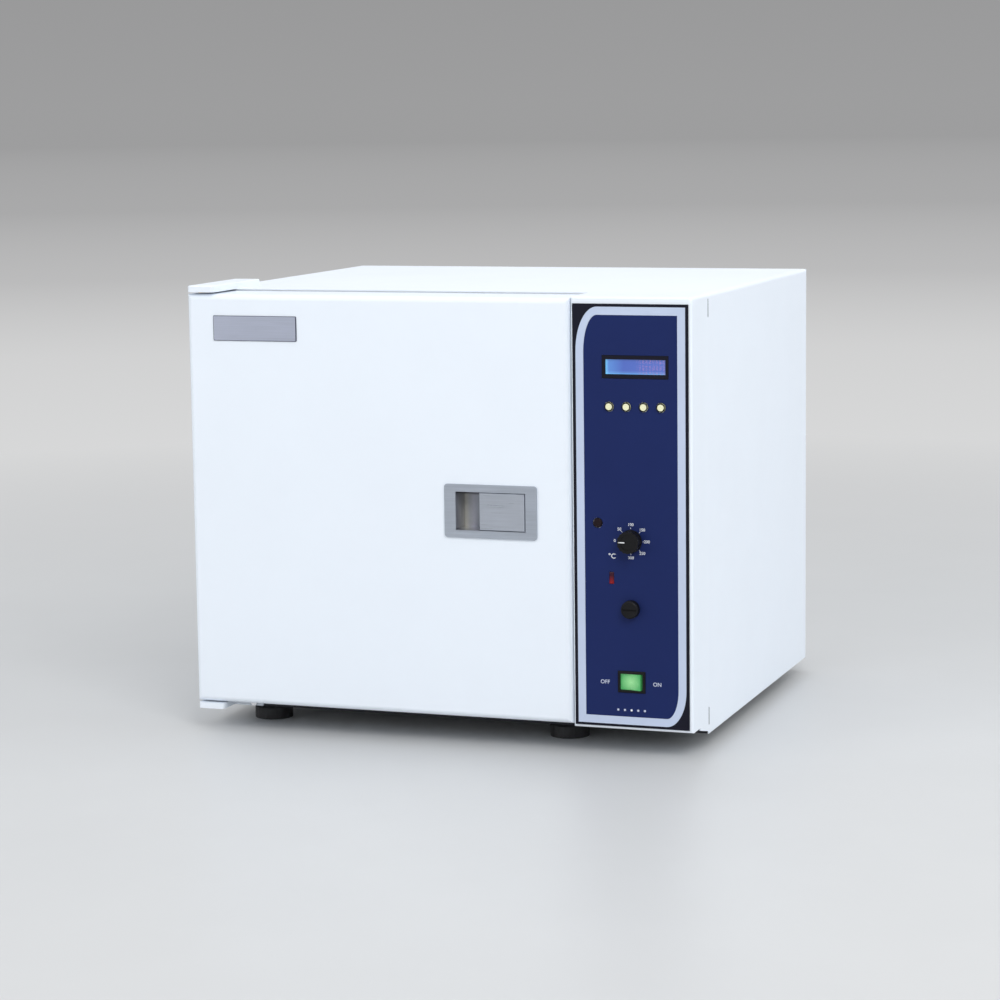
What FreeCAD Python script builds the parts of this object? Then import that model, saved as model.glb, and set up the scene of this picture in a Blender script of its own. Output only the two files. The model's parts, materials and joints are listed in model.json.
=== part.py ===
import FreeCAD, Part
import math
import os
import Sketcher
from FreeCAD import Placement, Rotation, Vector

# Dry heat sterilizer: a bench-top hot air cabinet with a side-hung door, a flush paddle latch,
# a control column at the right of the door and a stainless chamber with two shelves.
# Millimetres. X to the right, Y to the back, Z up. The origin is on the bench, under the
# middle of the cabinet.

# Driving sizes

SIZES = {
    # cabinet
    "cabinet_width": 560.0,
    "cabinet_depth": 494.0,
    "cover_height": 460.0,
    "foot_height": 16.5,
    "sheet": 1.2,
    "frame_sheet": 1.5,
    "fit_gap": 0.3,
    "bend_radius": 4.0,
    "overrun": 1.0,
    "rear_lip": 12.0,
    "spacer_length": 13.0,
    "spacer_radius": 9.0,
    "spacer_inset": 40.0,
    "seam_slot_width": 2.2,
    "seam_slot_length": 19.0,
    "seam_slot_inset": 5.0,
    "seam_slot_low": 9.5,
    # feet
    "foot_radius": 21.0,
    "foot_bevel": 4.0,
    "foot_bore_radius": 2.6,
    "foot_bore_floor": 5.0,
    "foot_left_inset": 53.0,
    "foot_right_inset": 161.0,
    "foot_front_inset": 85.0,
    "foot_rear_inset": 60.0,
    # base and back
    "base_flange": 14.0,
    "vent_slot_length": 46.0,
    "vent_slot_height": 4.0,
    "vent_slot_pitch": 12.0,
    # door
    "column_width": 128.4,
    "door_top_gap": 2.0,
    "door_thickness": 56.0,
    "door_rise": 15.0,
    "door_sheet": 1.5,
    "door_edge_radius": 6.0,
    "door_inner_bevel": 3.0,
    "door_back_gap": 4.0,
    "door_side_gap": 1.6,
    "plug_depth": 14.0,
    "plug_clearance": 10.0,
    "plug_corner_radius": 12.0,
    "gasket_width": 12.0,
    "gasket_clearance": 2.0,
    "gasket_corner_radius": 18.0,
    # hinge
    "hinge_side_inset": 9.0,
    "hinge_pin_radius": 4.0,
    "hinge_pin_reach": 14.0,
    "hinge_running_gap": 0.06,
    "seat_gap": 0.05,
    "hinge_arm_width": 30.0,
    "hinge_arm_length": 123.0,
    "hinge_arm_height": 7.0,
    "hinge_arm_nose": 2.0,
    "hinge_arm_inset": 2.0,
    "hinge_arm_radius": 4.0,
    "hinge_arm_bevel": 1.0,
    "hinge_arm_floor": 2.0,
    "bush_wall": 2.0,
    "bush_flange": 1.2,
    "bush_flange_radius": 8.0,
    "hinge_block_size": 24.0,
    "hinge_block_depth": 16.0,
    "bracket_height": 6.0,
    "bracket_gap": 1.5,
    "bracket_tab_width": 50.0,
    "bracket_tab_thickness": 3.0,
    # chamber
    "chamber_right_gap": 45.0,
    "chamber_top_gap": 53.5,
    "chamber_rear_gap": 62.5,
    "chamber_left_inset": 45.0,
    "chamber_floor_rise": 66.5,
    "chamber_corner_radius": 12.0,
    "chamber_flange": 10.0,
    "insulation_gap": 3.0,
    "insulation_rear_gap": 8.0,
    # shelves, racks, heater
    "rack_thickness": 1.2,
    "rack_ledge": 9.0,
    "rack_rear_gap": 30.0,
    "rack_top_gap": 68.0,
    "rack_last_gap": 28.0,
    "rack_first_ledge": 12.0,
    "rack_rise": 62.0,
    "rack_front_inset": 40.0,
    "shelf_rear_gap": 30.0,
    "shelf_sheet": 1.2,
    "shelf_edge": 7.0,
    "shelf_side_gap": 2.0,
    "shelf_front_inset": 40.0,
    "shelf_slot_bridge": 12.0,
    "shelf_slot_width": 8.0,
    "guard_rise": 34.0,
    "guard_end_gap": 15.0,
    "heater_radius": 4.0,
    "heater_rise": 14.0,
    "heater_rear_inset": 115.0,
    "heater_end_reach": 60.0,
    "heater_side_inset": 22.0,
    "heater_front_inset": 45.0,
    # sensors and vent
    "probe_radius": 3.0,
    "probe_reach": 45.0,
    "probe_head_radius": 7.0,
    "probe_head_length": 10.0,
    "probe_drop": 60.0,
    "probe_spacing": 40.0,
    "capillary_radius": 1.2,
    "vent_radius": 12.5,
    "vent_wall": 1.5,
    "vent_reach": 12.5,
    "vent_step": 0.5,
    "vent_spigot_length": 11.0,
    "vent_drop": 60.0,
    # control column
    "fascia_drop": 2.4,
    "fascia_edge_radius": 2.5,
    "tab_front_inset": 29.0,
    "tab_front_drop": 3.0,
    "tab_rear_drop": 10.0,
    "panel_side_margin": 2.0,
    "panel_right_margin": 3.6,
    "panel_thickness": 1.0,
    "panel_bottom_rise": 3.0,
    "panel_top_drop": 7.0,
    "trim_left_margin": 3.4,
    "trim_right_margin": 3.2,
    "trim_bottom_margin": 2.7,
    "trim_top_margin": 3.0,
    "trim_width": 8.3,
    "trim_thickness": 0.3,
    "film_gap": 0.1,
    "trim_top_corner_across": 23.0,
    "trim_top_corner_along": 46.0,
    "trim_low_corner_across": 21.0,
    "trim_low_corner_along": 38.0,
    "overlay_thickness": 0.2,
    # display and menu buttons
    "display_left": 31.6,
    "display_drop": 75.8,
    "display_width": 70.2,
    "display_height": 23.4,
    "display_border_side": 3.1,
    "display_border_end": 3.9,
    "display_recess": 1.4,
    "display_bezel_depth": 4.0,
    "display_glass": 2.0,
    "display_board_margin": 6.0,
    "board_thickness": 1.6,
    "button_left": 38.9,
    "button_pitch": 18.3,
    "button_drop": 104.8,
    "button_radius": 4.5,
    "button_hole_gap": 0.7,
    "button_reach": 1.6,
    "button_flange": 1.4,
    "button_flange_thickness": 1.0,
    "button_stem_radius": 2.0,
    "button_travel": 0.8,
    "switch_size": 6.0,
    "switch_height": 3.5,
    "keypad_gap": 9.0,
    "keypad_width": 84.0,
    "keypad_height": 22.0,
    # reset, knob, lamp, fuse, rocker
    "reset_left": 25.8,
    "reset_rise": 212.4,
    "reset_radius": 4.7,
    "reset_reach": 1.4,
    "reset_travel": 2.0,
    "reset_body_radius": 8.0,
    "reset_body_length": 22.0,
    "dial_left": 61.1,
    "dial_rise": 194.4,
    "knob_reach": 13.0,
    "knob_radius": 11.8,
    "knob_skirt_radius": 12.0,
    "knob_skirt_height": 2.0,
    "knob_gap": 0.4,
    "knob_flute_depth": 0.8,
    "knob_dish": 0.8,
    "knob_mark_width": 1.2,
    "shaft_radius": 3.0,
    "shaft_flat": 1.2,
    "shaft_gap": 0.08,
    "thermostat_size": 40.0,
    "thermostat_depth": 24.0,
    "thermostat_neck_radius": 6.0,
    "lamp_left": 40.4,
    "lamp_rise": 155.7,
    "lamp_width": 4.6,
    "lamp_height": 12.0,
    "lamp_reach": 1.2,
    "lamp_body_length": 16.0,
    "fuse_rise": 124.0,
    "fuse_cap_radius": 9.2,
    "fuse_cap_reach": 8.0,
    "fuse_stem_radius": 5.5,
    "fuse_stem_length": 12.0,
    "fuse_body_radius": 8.0,
    "fuse_body_length": 38.0,
    "fuse_collar_reach": 1.5,
    "fuse_slot_width": 1.6,
    "fuse_slot_depth": 1.2,
    "rocker_rise": 47.6,
    "rocker_bezel_width": 29.2,
    "rocker_bezel_height": 22.3,
    "rocker_bezel_reach": 1.8,
    "rocker_width": 22.6,
    "rocker_height": 16.6,
    "rocker_tilt": 9.0,
    "rocker_depth": 7.0,
    "rocker_gap": 0.9,
    "rocker_pin_radius": 1.5,
    "rocker_body_depth": 22.0,
    # latch
    "latch_right_inset": 36.5,
    "latch_rise": 191.7,
    "latch_width": 102.0,
    "latch_height": 56.5,
    "latch_flange": 1.6,
    "latch_corner_radius": 3.5,
    "latch_border_side": 12.5,
    "latch_border_end": 8.0,
    "latch_wall": 1.5,
    "latch_cup_depth": 26.0,
    "paddle_length": 50.0,
    "paddle_sheet": 2.2,
    "paddle_recess": 0.5,
    "paddle_lip": 9.0,
    "paddle_gap": 0.5,
    "paddle_pivot_inset": 14.5,
    "paddle_pivot_depth": 3.4,
    "paddle_knuckle_radius": 3.2,
    "paddle_pin_radius": 1.5,
    "paddle_arm_reach": 12.0,
    "paddle_arm_width": 2.2,
    "paddle_arm_head_radius": 2.0,
    "paddle_arm_height": 8.0,
    "bolt_height": 12.0,
    "bolt_thickness": 7.0,
    "bolt_fork_gap": 0.6,
    "bolt_fork_wall": 2.6,
    "bolt_nose_bevel": 4.0,
    "bolt_rest_gap": 0.5,
    "bolt_guide_gap": 0.3,
    "spring_wire_radius": 0.4,
    "spring_pitch": 1.0,
    "spring_coil_radius": 2.2,
    "spring_notch_radius": 3.3,
    "spring_notch_height": 6.4,
    "spring_rise": 6.0,
    "spring_leg": 10.0,
    "strike_width": 20.0,
    "strike_height": 40.0,
    "strike_sheet": 1.2,
    # inlet and inner electrics
    "inlet_right_inset": 66.0,
    "inlet_rise": 60.0,
    "inlet_width": 31.0,
    "inlet_height": 24.0,
    "inlet_flange": 2.5,
    "inlet_recess_width": 25.0,
    "inlet_recess_height": 17.0,
    "inlet_recess_depth": 15.0,
    "inlet_depth": 22.0,
    "inlet_pin_width": 2.0,
    "inlet_pin_height": 4.0,
    "inlet_pin_pitch": 7.0,
    "inlet_pin_length": 12.0,
    "divider_gap": 2.0,
    "main_board_depth": 150.0,
    "main_board_height": 180.0,
    "main_board_rise": 130.0,
    "main_board_front_inset": 60.0,
    "standoff_radius": 3.0,
    "standoff_length": 10.0,
    "transformer_width": 56.0,
    "transformer_depth": 46.0,
    "transformer_height": 50.0,
    "transformer_front_inset": 190.0,
    "terminal_width": 22.0,
    "terminal_depth": 60.0,
    "terminal_height": 16.0,
    "terminal_front_inset": 110.0,
    # screws
    "screw_radius": 2.0,
    "screw_head_radius": 3.8,
    "screw_head_height": 2.2,
    "screw_hole_gap": 0.1,
    "screw_length": 6.0,
}

os.makedirs("parts", exist_ok=True)
doc = FreeCAD.newDocument("DryHeatSterilizer")
sheet = doc.addObject("Spreadsheet::Sheet", "Sizes")
nodes = []


class Size:
    """A length or angle that carries its number and the sheet expression that gives it."""

    def __init__(self, value, text):
        self.value = float(value)
        self.text = text

    def __float__(self):
        return self.value

    def __add__(self, other):
        return Size(self.value + float(other), "(%s + %s)" % (self.text, text_of(other)))

    def __radd__(self, other):
        return Size(float(other) + self.value, "(%s + %s)" % (text_of(other), self.text))

    def __sub__(self, other):
        return Size(self.value - float(other), "(%s - %s)" % (self.text, text_of(other)))

    def __rsub__(self, other):
        return Size(float(other) - self.value, "(%s - %s)" % (text_of(other), self.text))

    def __mul__(self, other):
        return Size(self.value * float(other), "(%s * %s)" % (self.text, text_of(other)))

    def __rmul__(self, other):
        return Size(self.value * float(other), "(%s * %s)" % (self.text, text_of(other)))

    def __truediv__(self, other):
        return Size(self.value / float(other), "(%s / %s)" % (self.text, text_of(other)))

    def __neg__(self):
        return Size(-self.value, "(-%s)" % self.text)


def text_of(number):
    """The expression text of a Size or of a plain factor."""
    return number.text if isinstance(number, Size) else repr(float(number))


class Sheet:
    """The spreadsheet's cells as attributes, one Size for each driving dimension."""

    def __init__(self, values):
        for row, (name, value) in enumerate(values.items(), 1):
            sheet.set("A%d" % row, name)
            sheet.set("B%d" % row, str(value))
            sheet.setAlias("B%d" % row, name)
            setattr(self, name, Size(value, "Sizes." + name))


s = Sheet(SIZES)
doc.recompute()
nil = Size(0, "0")


# Helpers for primitives

def bind(item, prop, size):
    """Ties one property to the sheet."""
    item.setExpression(prop, text_of(size))


def place(item, x=nil, y=nil, z=nil, turn=None):
    """Puts an item at a point tied to the sheet, turned by a fixed rotation."""
    item.Placement = Placement(Vector(float(x), float(y), float(z)), turn or Rotation())
    for axis, size in zip("xyz", (x, y, z)):
        bind(item, "Placement.Base." + axis, size)
    return item


def block(name, low, high):
    """A box from its low corner to its high corner."""
    item = doc.addObject("Part::Box", name)
    for prop, a, b in zip(("Length", "Width", "Height"), low, high):
        bind(item, prop, b - a)
    return place(item, *low)


TURNS = {
    "X": Rotation(Vector(1, 1, 1), 120),
    "Y": Rotation(Vector(1, 0, 0), -90),
    "Z": Rotation(),
}


def rod(name, start, along, radius, length):
    """A cylinder from its start point along the positive X, Y or Z."""
    item = doc.addObject("Part::Cylinder", name)
    bind(item, "Radius", radius)
    bind(item, "Height", length)
    return place(item, *start, turn=TURNS[along])


def prism(name, start, along, radius, length, sides=8):
    """A many-sided bar from its start point along the positive X, Y or Z."""
    item = doc.addObject("Part::Prism", name)
    item.Polygon = sides
    bind(item, "Circumradius", radius)
    bind(item, "Height", length)
    return place(item, *start, turn=TURNS[along])


def fuse(name, *items):
    """Several solids joined into one."""
    item = doc.addObject("Part::MultiFuse", name)
    item.Shapes = list(items)
    item.Refine = True
    return item


def cut(name, base, *tools):
    """A solid less one or more tools."""
    item = doc.addObject("Part::Cut", name)
    item.Base = base
    item.Tool = tools[0] if len(tools) == 1 else fuse(name + "_tools", *tools)
    item.Refine = True
    return item


def round_edges(name, base, radius, pick, kind="Fillet"):
    """Rounds or bevels the edges that pick chooses."""
    base.recompute(True)
    chosen = [
        (i, float(radius), float(radius)) for i, edge in enumerate(base.Shape.Edges, 1) if pick(edge)
    ]
    item = doc.addObject("Part::" + kind, name)
    item.Base = base
    item.Edges = chosen
    return item


def chamfered(name, base, size, pick):
    """Bevels the edges that pick chooses."""
    return round_edges(name, base, size, pick, "Chamfer")


def node(item, name):
    """Names a finished sub-part and lists it for writing."""
    item.Label = name
    nodes.append(item)
    return item


def near(a, b):
    """Whether two lengths are the same."""
    return abs(float(a) - float(b)) < 1e-4


def runs_along(edge, axis):
    """Whether a straight edge runs along the named axis."""
    box = edge.BoundBox
    spans = {"X": box.XLength, "Y": box.YLength, "Z": box.ZLength}
    own = spans.pop(axis)
    return own > 1e-4 and all(span < 1e-4 for span in spans.values())


# Helpers for bodies made from sketches

def new_body(name):
    """A body with its own origin."""
    return doc.addObject("PartDesign::Body", name)


def plane_of(body, role):
    """One of the body's own origin planes."""
    return [f for f in body.Origin.OriginFeatures if f.Role == role][0]


def new_sketch(body, name, role, lift):
    """An empty sketch on an origin plane, lifted along the plane's normal."""
    sketch = body.newObject("Sketcher::SketchObject", name)
    sketch.AttachmentSupport = [(plane_of(body, role), "")]
    sketch.MapMode = "FlatFace"
    bind(sketch, "AttachmentOffset.Base.z", lift)
    return sketch


def pin_point(sketch, curve, end, x, y):
    """Ties a sketch point's two coordinates to the sheet."""
    for kind, size in (("DistanceX", x), ("DistanceY", y)):
        index = sketch.addConstraint(Sketcher.Constraint(kind, -1, 1, curve, end, float(size)))
        bind(sketch, "Constraints[%d]" % index, size)


def outlines(body, name, role, loops, lift=nil):
    """Closed outlines of straight edges in one sketch."""
    sketch = new_sketch(body, name, role, lift)
    for points in loops:
        first = sketch.GeometryCount
        count = len(points)
        for i, (x, y) in enumerate(points):
            end_x, end_y = points[(i + 1) % count]
            start = Vector(float(x), float(y), 0)
            sketch.addGeometry(Part.LineSegment(start, Vector(float(end_x), float(end_y), 0)))
        for i in range(count):
            following = first + (i + 1) % count
            sketch.addConstraint(Sketcher.Constraint("Coincident", first + i, 2, following, 1))
        for i, (x, y) in enumerate(points):
            pin_point(sketch, first + i, 1, x, y)
    return sketch


def outline(body, name, role, points, lift=nil):
    """One closed outline of straight edges."""
    return outlines(body, name, role, [points], lift)


def rounded(body, name, role, low, high, radius, lift=nil):
    """A rectangle with four equal round corners."""
    sketch = new_sketch(body, name, role, lift)
    (x0, y0), (x1, y1) = low, high
    r = radius
    runs = [
        ((x0 + r, y0), (x1 - r, y0)),
        ((x1, y0 + r), (x1, y1 - r)),
        ((x1 - r, y1), (x0 + r, y1)),
        ((x0, y1 - r), (x0, y0 + r)),
    ]
    centres = [(x1 - r, y0 + r), (x1 - r, y1 - r), (x0 + r, y1 - r), (x0 + r, y0 + r)]
    for (ax, ay), (bx, by) in runs:
        start = Vector(float(ax), float(ay), 0)
        sketch.addGeometry(Part.LineSegment(start, Vector(float(bx), float(by), 0)))
    for i, (x, y) in enumerate(centres):
        circle = Part.Circle(Vector(float(x), float(y), 0), Vector(0, 0, 1), float(r))
        first = math.radians(90 * i - 90)
        sketch.addGeometry(Part.ArcOfCircle(circle, first, first + math.pi / 2))
    for i in range(4):
        sketch.addConstraint(Sketcher.Constraint("Coincident", i, 2, 4 + i, 1))
        sketch.addConstraint(Sketcher.Constraint("Coincident", 4 + i, 2, (i + 1) % 4, 1))
        pin_point(sketch, i, 1, *runs[i][0])
        pin_point(sketch, i, 2, *runs[i][1])
        index = sketch.addConstraint(Sketcher.Constraint("Radius", 4 + i, float(r)))
        bind(sketch, "Constraints[%d]" % index, r)
    return sketch


def rectangle(body, name, role, low, high, lift=nil):
    """A rectangle between two corners."""
    points = [low, (high[0], low[1]), high, (low[0], high[1])]
    return outline(body, name, role, points, lift)


def ring_points(x, y, radius, sides):
    """The corners of a regular outline about a centre."""
    turns = [math.radians(360 * i / sides) for i in range(sides)]
    return [
        (x + radius * round(math.cos(turn), 6), y + radius * round(math.sin(turn), 6)) for turn in turns
    ]


def facets(body, name, role, centres, radius, lift=nil, sides=6):
    """Equal many-sided outlines about the given centres."""
    return outlines(body, name, role, [ring_points(x, y, radius, sides) for x, y in centres], lift)


def circles(body, name, role, centres, radius, lift=nil):
    """Equal circles about the given centres."""
    sketch = new_sketch(body, name, role, lift)
    for i, (x, y) in enumerate(centres):
        centre = Vector(float(x), float(y), 0)
        sketch.addGeometry(Part.Circle(centre, Vector(0, 0, 1), float(radius)))
        pin_point(sketch, i, 3, x, y)
        index = sketch.addConstraint(Sketcher.Constraint("Radius", i, float(radius)))
        bind(sketch, "Constraints[%d]" % index, radius)
    return sketch


def feature(body, kind, name, sketch, backwards=False):
    """A feature made from a sketch."""
    item = body.newObject("PartDesign::" + kind, name)
    item.Profile = sketch
    item.Reversed = backwards
    sketch.Visibility = False
    body.Tip = item
    return item


def pad(body, sketch, length, backwards=False):
    """Adds the sketch's area along its normal."""
    item = feature(body, "Pad", sketch.Name + "_pad", sketch, backwards)
    bind(item, "Length", length)
    return item


def pocket(body, sketch, depth, backwards=False):
    """Removes the sketch's area against its normal."""
    item = feature(body, "Pocket", sketch.Name + "_pocket", sketch, backwards)
    bind(item, "Length", depth)
    return item


def revolve(body, sketch, kind="Revolution"):
    """Turns the sketch about its own vertical axis."""
    item = feature(body, kind, sketch.Name + "_turn", sketch)
    item.ReferenceAxis = (sketch, ["V_Axis"])
    item.Angle = 360
    return item


def dress(body, kind, name, radius, pick, prop="Radius"):
    """Fillets or chamfers the edges that pick chooses."""
    base = body.Tip
    base.recompute(True)
    chosen = ["Edge%d" % i for i, edge in enumerate(base.Shape.Edges, 1) if pick(edge)]
    item = body.newObject("PartDesign::" + kind, name)
    item.Base = (base, chosen)
    bind(item, prop, radius)
    body.Tip = item
    return item


def fillet(body, name, radius, pick):
    """Rounds chosen edges of a body."""
    return dress(body, "Fillet", name, radius, pick)


def chamfer(body, name, size, pick):
    """Bevels chosen edges of a body."""
    return dress(body, "Chamfer", name, size, pick, "Size")


def repeat_along(body, made, sketch, axis, pitch, count):
    """Repeats one feature in a row along a sketch axis."""
    item = body.newObject("PartDesign::LinearPattern", made.Name + "_row")
    item.Originals = [made]
    item.Direction = (sketch, [axis])
    bind(item, "Length", pitch * (count - 1))
    item.Occurrences = count
    body.Tip = item
    return item


# Places shared by several sub-parts

left = -s.cabinet_width / 2
right = s.cabinet_width / 2
face = (s.knob_reach - s.spacer_length - s.cabinet_depth) / 2
rear = face + s.cabinet_depth
seam = face + s.door_thickness + s.door_back_gap
base = s.foot_height
top = base + s.cover_height
door_low = base + s.door_rise
door_high = top - s.door_top_gap
door_height = door_high - door_low
fascia_left = right - s.column_width
door_right = fascia_left - s.door_side_gap
inside_left = left + s.sheet + s.fit_gap
inside_right = right - s.sheet - s.fit_gap
inside_top = top - s.sheet - s.fit_gap
floor_top = base + s.frame_sheet
chamber_left = left + s.chamber_left_inset
chamber_right = door_right - s.chamber_right_gap
chamber_low = base + s.chamber_floor_rise
chamber_high = top - s.chamber_top_gap
panel_front = rear - s.frame_sheet
chamber_back = panel_front - s.chamber_rear_gap
chamber_width = chamber_right - chamber_left
chamber_height = chamber_high - chamber_low
chamber_depth = chamber_back - seam
divider_left = door_right - s.divider_gap - s.frame_sheet
hinge_x = left + s.hinge_side_inset
hinge_y = face + s.door_thickness / 2


def group(name, items):
    """Separate solids that share one node."""
    item = doc.addObject("Part::Compound", name)
    item.Links = list(items)
    return item


# Screws

screw_hole = s.screw_radius + s.screw_hole_gap


def screw(name, x, y, z, turn):
    """A six-sided screw whose head rests on the point and whose shank runs along local -Z."""
    body = new_body(name)
    head = facets(body, name + "_head", "XY_Plane", [(nil, nil)], s.screw_head_radius)
    pad(body, head, s.screw_head_height)
    shank = facets(body, name + "_shank", "XY_Plane", [(nil, nil)], s.screw_radius)
    pad(body, shank, s.screw_length, True)
    return place(body, x, y, z, turn)


HEAD_BACK = Rotation(Vector(1, 0, 0), -90)
HEAD_FRONT = Rotation(Vector(1, 0, 0), 90)
HEAD_DOWN = Rotation(Vector(1, 0, 0), 180)


# Cabinet sheet metal

lip_middle = (s.sheet + s.rear_lip) / 2
rear_screw_places = [
    (side * (right - lip_middle), base + s.cover_height * share)
    for side in (-1, 1)
    for share in (0.1, 0.5, 0.9)
] + [(side * right * 0.45, top - lip_middle) for side in (-1, 1)]
foot_places = [
    (across, along)
    for across in (left + s.foot_left_inset, right - s.foot_right_inset)
    for along in (face + s.foot_front_inset, rear - s.foot_rear_inset)
]
vent_x = (chamber_left + chamber_right) / 2
vent_z = chamber_high - s.vent_drop
inlet_x = right - s.inlet_right_inset
inlet_z = base + s.inlet_rise
probe_z = chamber_high - s.probe_drop
probe_y = chamber_back - chamber_depth / 2
bulb_y = probe_y + s.probe_spacing
heater_z = chamber_low + s.heater_rise
heater_y = seam + s.heater_front_inset
heater_end_y = chamber_back - s.heater_rear_inset
heater_pitch = (heater_end_y - heater_y) / 3
probe_hole = s.probe_radius + s.fit_gap
heater_hole = s.heater_radius + s.fit_gap


def make_outer_cover():
    """The folded cover: top and both sides, with a lip at the rear."""
    body = new_body("cover_body")
    length = panel_front - seam
    whole = rectangle(body, "cover_block", "XZ_Plane", (left, base), (right, top), -seam)
    pad(body, whole, length, True)
    fillet(body, "cover_bends", s.bend_radius, lambda e: runs_along(e, "Y") and near(e.BoundBox.ZMax, top))
    inner_low = (left + s.sheet, base - s.overrun)
    inner_high = (right - s.sheet, top - s.sheet)
    inside = rectangle(body, "cover_inside", "XZ_Plane", inner_low, inner_high, -seam)
    pocket(body, inside, length - s.sheet)
    fillet(
        body, "cover_inner_bends", s.bend_radius - s.sheet,
        lambda e: runs_along(e, "Y") and near(e.BoundBox.ZMax, top - s.sheet),
    )
    lip_low = (left + s.rear_lip, base - s.overrun)
    lip_high = (right - s.rear_lip, top - s.rear_lip)
    pocket(body, rectangle(body, "cover_lip", "XZ_Plane", lip_low, lip_high, -seam), length + s.overrun)
    holes = facets(body, "cover_holes", "XZ_Plane", rear_screw_places, screw_hole, -seam)
    pocket(body, holes, length + s.overrun)
    arm_holes = facets(body, "cover_arm_holes", "XY_Plane", arm_screw_places, screw_hole, top)
    pocket(body, arm_holes, s.sheet + s.overrun)
    slot_ends = [
        (top - s.seam_slot_inset - s.seam_slot_length, top - s.seam_slot_inset),
        (base + s.seam_slot_low, base + s.seam_slot_low + s.seam_slot_length),
    ]
    for name, (low, high) in zip(("upper", "lower"), slot_ends):
        corner = (seam - s.overrun, low)
        opposite = (seam + s.seam_slot_width, high)
        slot = rectangle(body, name + "_seam_slot", "YZ_Plane", corner, opposite, right + s.overrun)
        pocket(body, slot, s.sheet + s.overrun * 2)
    return node(body, "outer_cover")


def make_base_pan():
    """The floor tray with its upturned sides, foot holes and vent slots under the controls."""
    body = new_body("base_body")
    front = seam + s.frame_sheet
    back = panel_front - s.sheet - s.fit_gap
    pad(body, rectangle(body, "base_block", "XY_Plane", (inside_left, front), (inside_right, back), base),
        s.base_flange)
    low = (inside_left + s.frame_sheet, front - s.overrun)
    high = (inside_right - s.frame_sheet, back - s.frame_sheet)
    inside = rectangle(body, "base_inside", "XY_Plane", low, high, base + s.base_flange)
    pocket(body, inside, s.base_flange - s.frame_sheet)
    pocket(body, facets(body, "base_holes", "XY_Plane", foot_places, screw_hole, floor_top),
           s.frame_sheet + s.overrun)
    slot_x = (divider_left + right) / 2 - s.vent_slot_length / 2
    corner = (slot_x, front + s.vent_slot_pitch)
    opposite = (slot_x + s.vent_slot_length, front + s.vent_slot_pitch + s.vent_slot_height)
    slot = rectangle(body, "base_slot", "XY_Plane", corner, opposite, floor_top)
    made = pocket(body, slot, s.frame_sheet + s.overrun)
    repeat_along(body, made, slot, "V_Axis", s.vent_slot_pitch, 8)
    return node(body, "base_pan")


def make_back_panel():
    """The flat rear sheet with the air vents, the vent pipe hole and the inlet cut-out."""
    body = new_body("back_body")
    low = (left + s.fit_gap, base + s.fit_gap)
    high = (right - s.fit_gap, top - s.fit_gap)
    pad(body, rectangle(body, "back_sheet", "XZ_Plane", low, high, -panel_front), s.frame_sheet, True)
    through = s.frame_sheet + s.overrun
    holes = facets(body, "back_holes", "XZ_Plane", rear_screw_places, screw_hole, -panel_front)
    pocket(body, holes, through)
    vent_hole = s.vent_radius + s.fit_gap
    vent = circles(body, "back_vent", "XZ_Plane", [(vent_x, vent_z)], vent_hole, -panel_front)
    pocket(body, vent, through)
    half_width = s.inlet_width / 2 - s.inlet_flange
    half_height = s.inlet_height / 2 - s.inlet_flange
    cut_low = (inlet_x - half_width, inlet_z - half_height)
    cut_high = (inlet_x + half_width, inlet_z + half_height)
    pocket(body, rectangle(body, "back_inlet", "XZ_Plane", cut_low, cut_high, -panel_front), through)
    slot_x = inlet_x - s.vent_slot_length / 2
    slot_z = top - s.cover_height * 0.4
    slot = rectangle(
        body, "back_slot", "XZ_Plane", (slot_x, slot_z),
        (slot_x + s.vent_slot_length, slot_z + s.vent_slot_height), -panel_front,
    )
    made = pocket(body, slot, through)
    repeat_along(body, made, slot, "V_Axis", s.vent_slot_pitch, 10)
    return node(body, "back_panel")


frame_opening_gap = s.sheet + s.fit_gap


def make_front_frame():
    """The flat front frame round the chamber mouth and behind the control column."""
    body = new_body("frame_body")
    high = (inside_right, inside_top)
    outer = rectangle(body, "frame_sheet", "XZ_Plane", (inside_left, base), high, -seam)
    pad(body, outer, s.frame_sheet, True)
    through = s.frame_sheet + s.overrun
    low = (chamber_left - frame_opening_gap, chamber_low - frame_opening_gap)
    high = (chamber_right + frame_opening_gap, chamber_high + frame_opening_gap)
    pocket(body, rectangle(body, "frame_mouth", "XZ_Plane", low, high, -seam), through)
    service_low = (fascia_left + s.chamber_flange, base + s.chamber_left_inset)
    service_high = (inside_right - s.chamber_flange, inside_top - s.chamber_flange)
    pocket(body, rectangle(body, "frame_service", "XZ_Plane", service_low, service_high, -seam), through)
    holes = facets(body, "frame_holes", "XZ_Plane", bracket_screw_places, screw_hole, -seam)
    pocket(body, holes, through)
    return node(body, "front_frame")


bracket_high = door_low - s.bracket_gap
bracket_low = bracket_high - s.bracket_height
bracket_left = left + s.hinge_arm_inset
tab_low = base + s.fit_gap
tab_middle = bracket_low - s.screw_head_radius - s.film_gap
bracket_screw_places = [
    (bracket_left + s.bracket_tab_width * share, tab_middle) for share in (0.2, 0.8)
]


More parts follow.
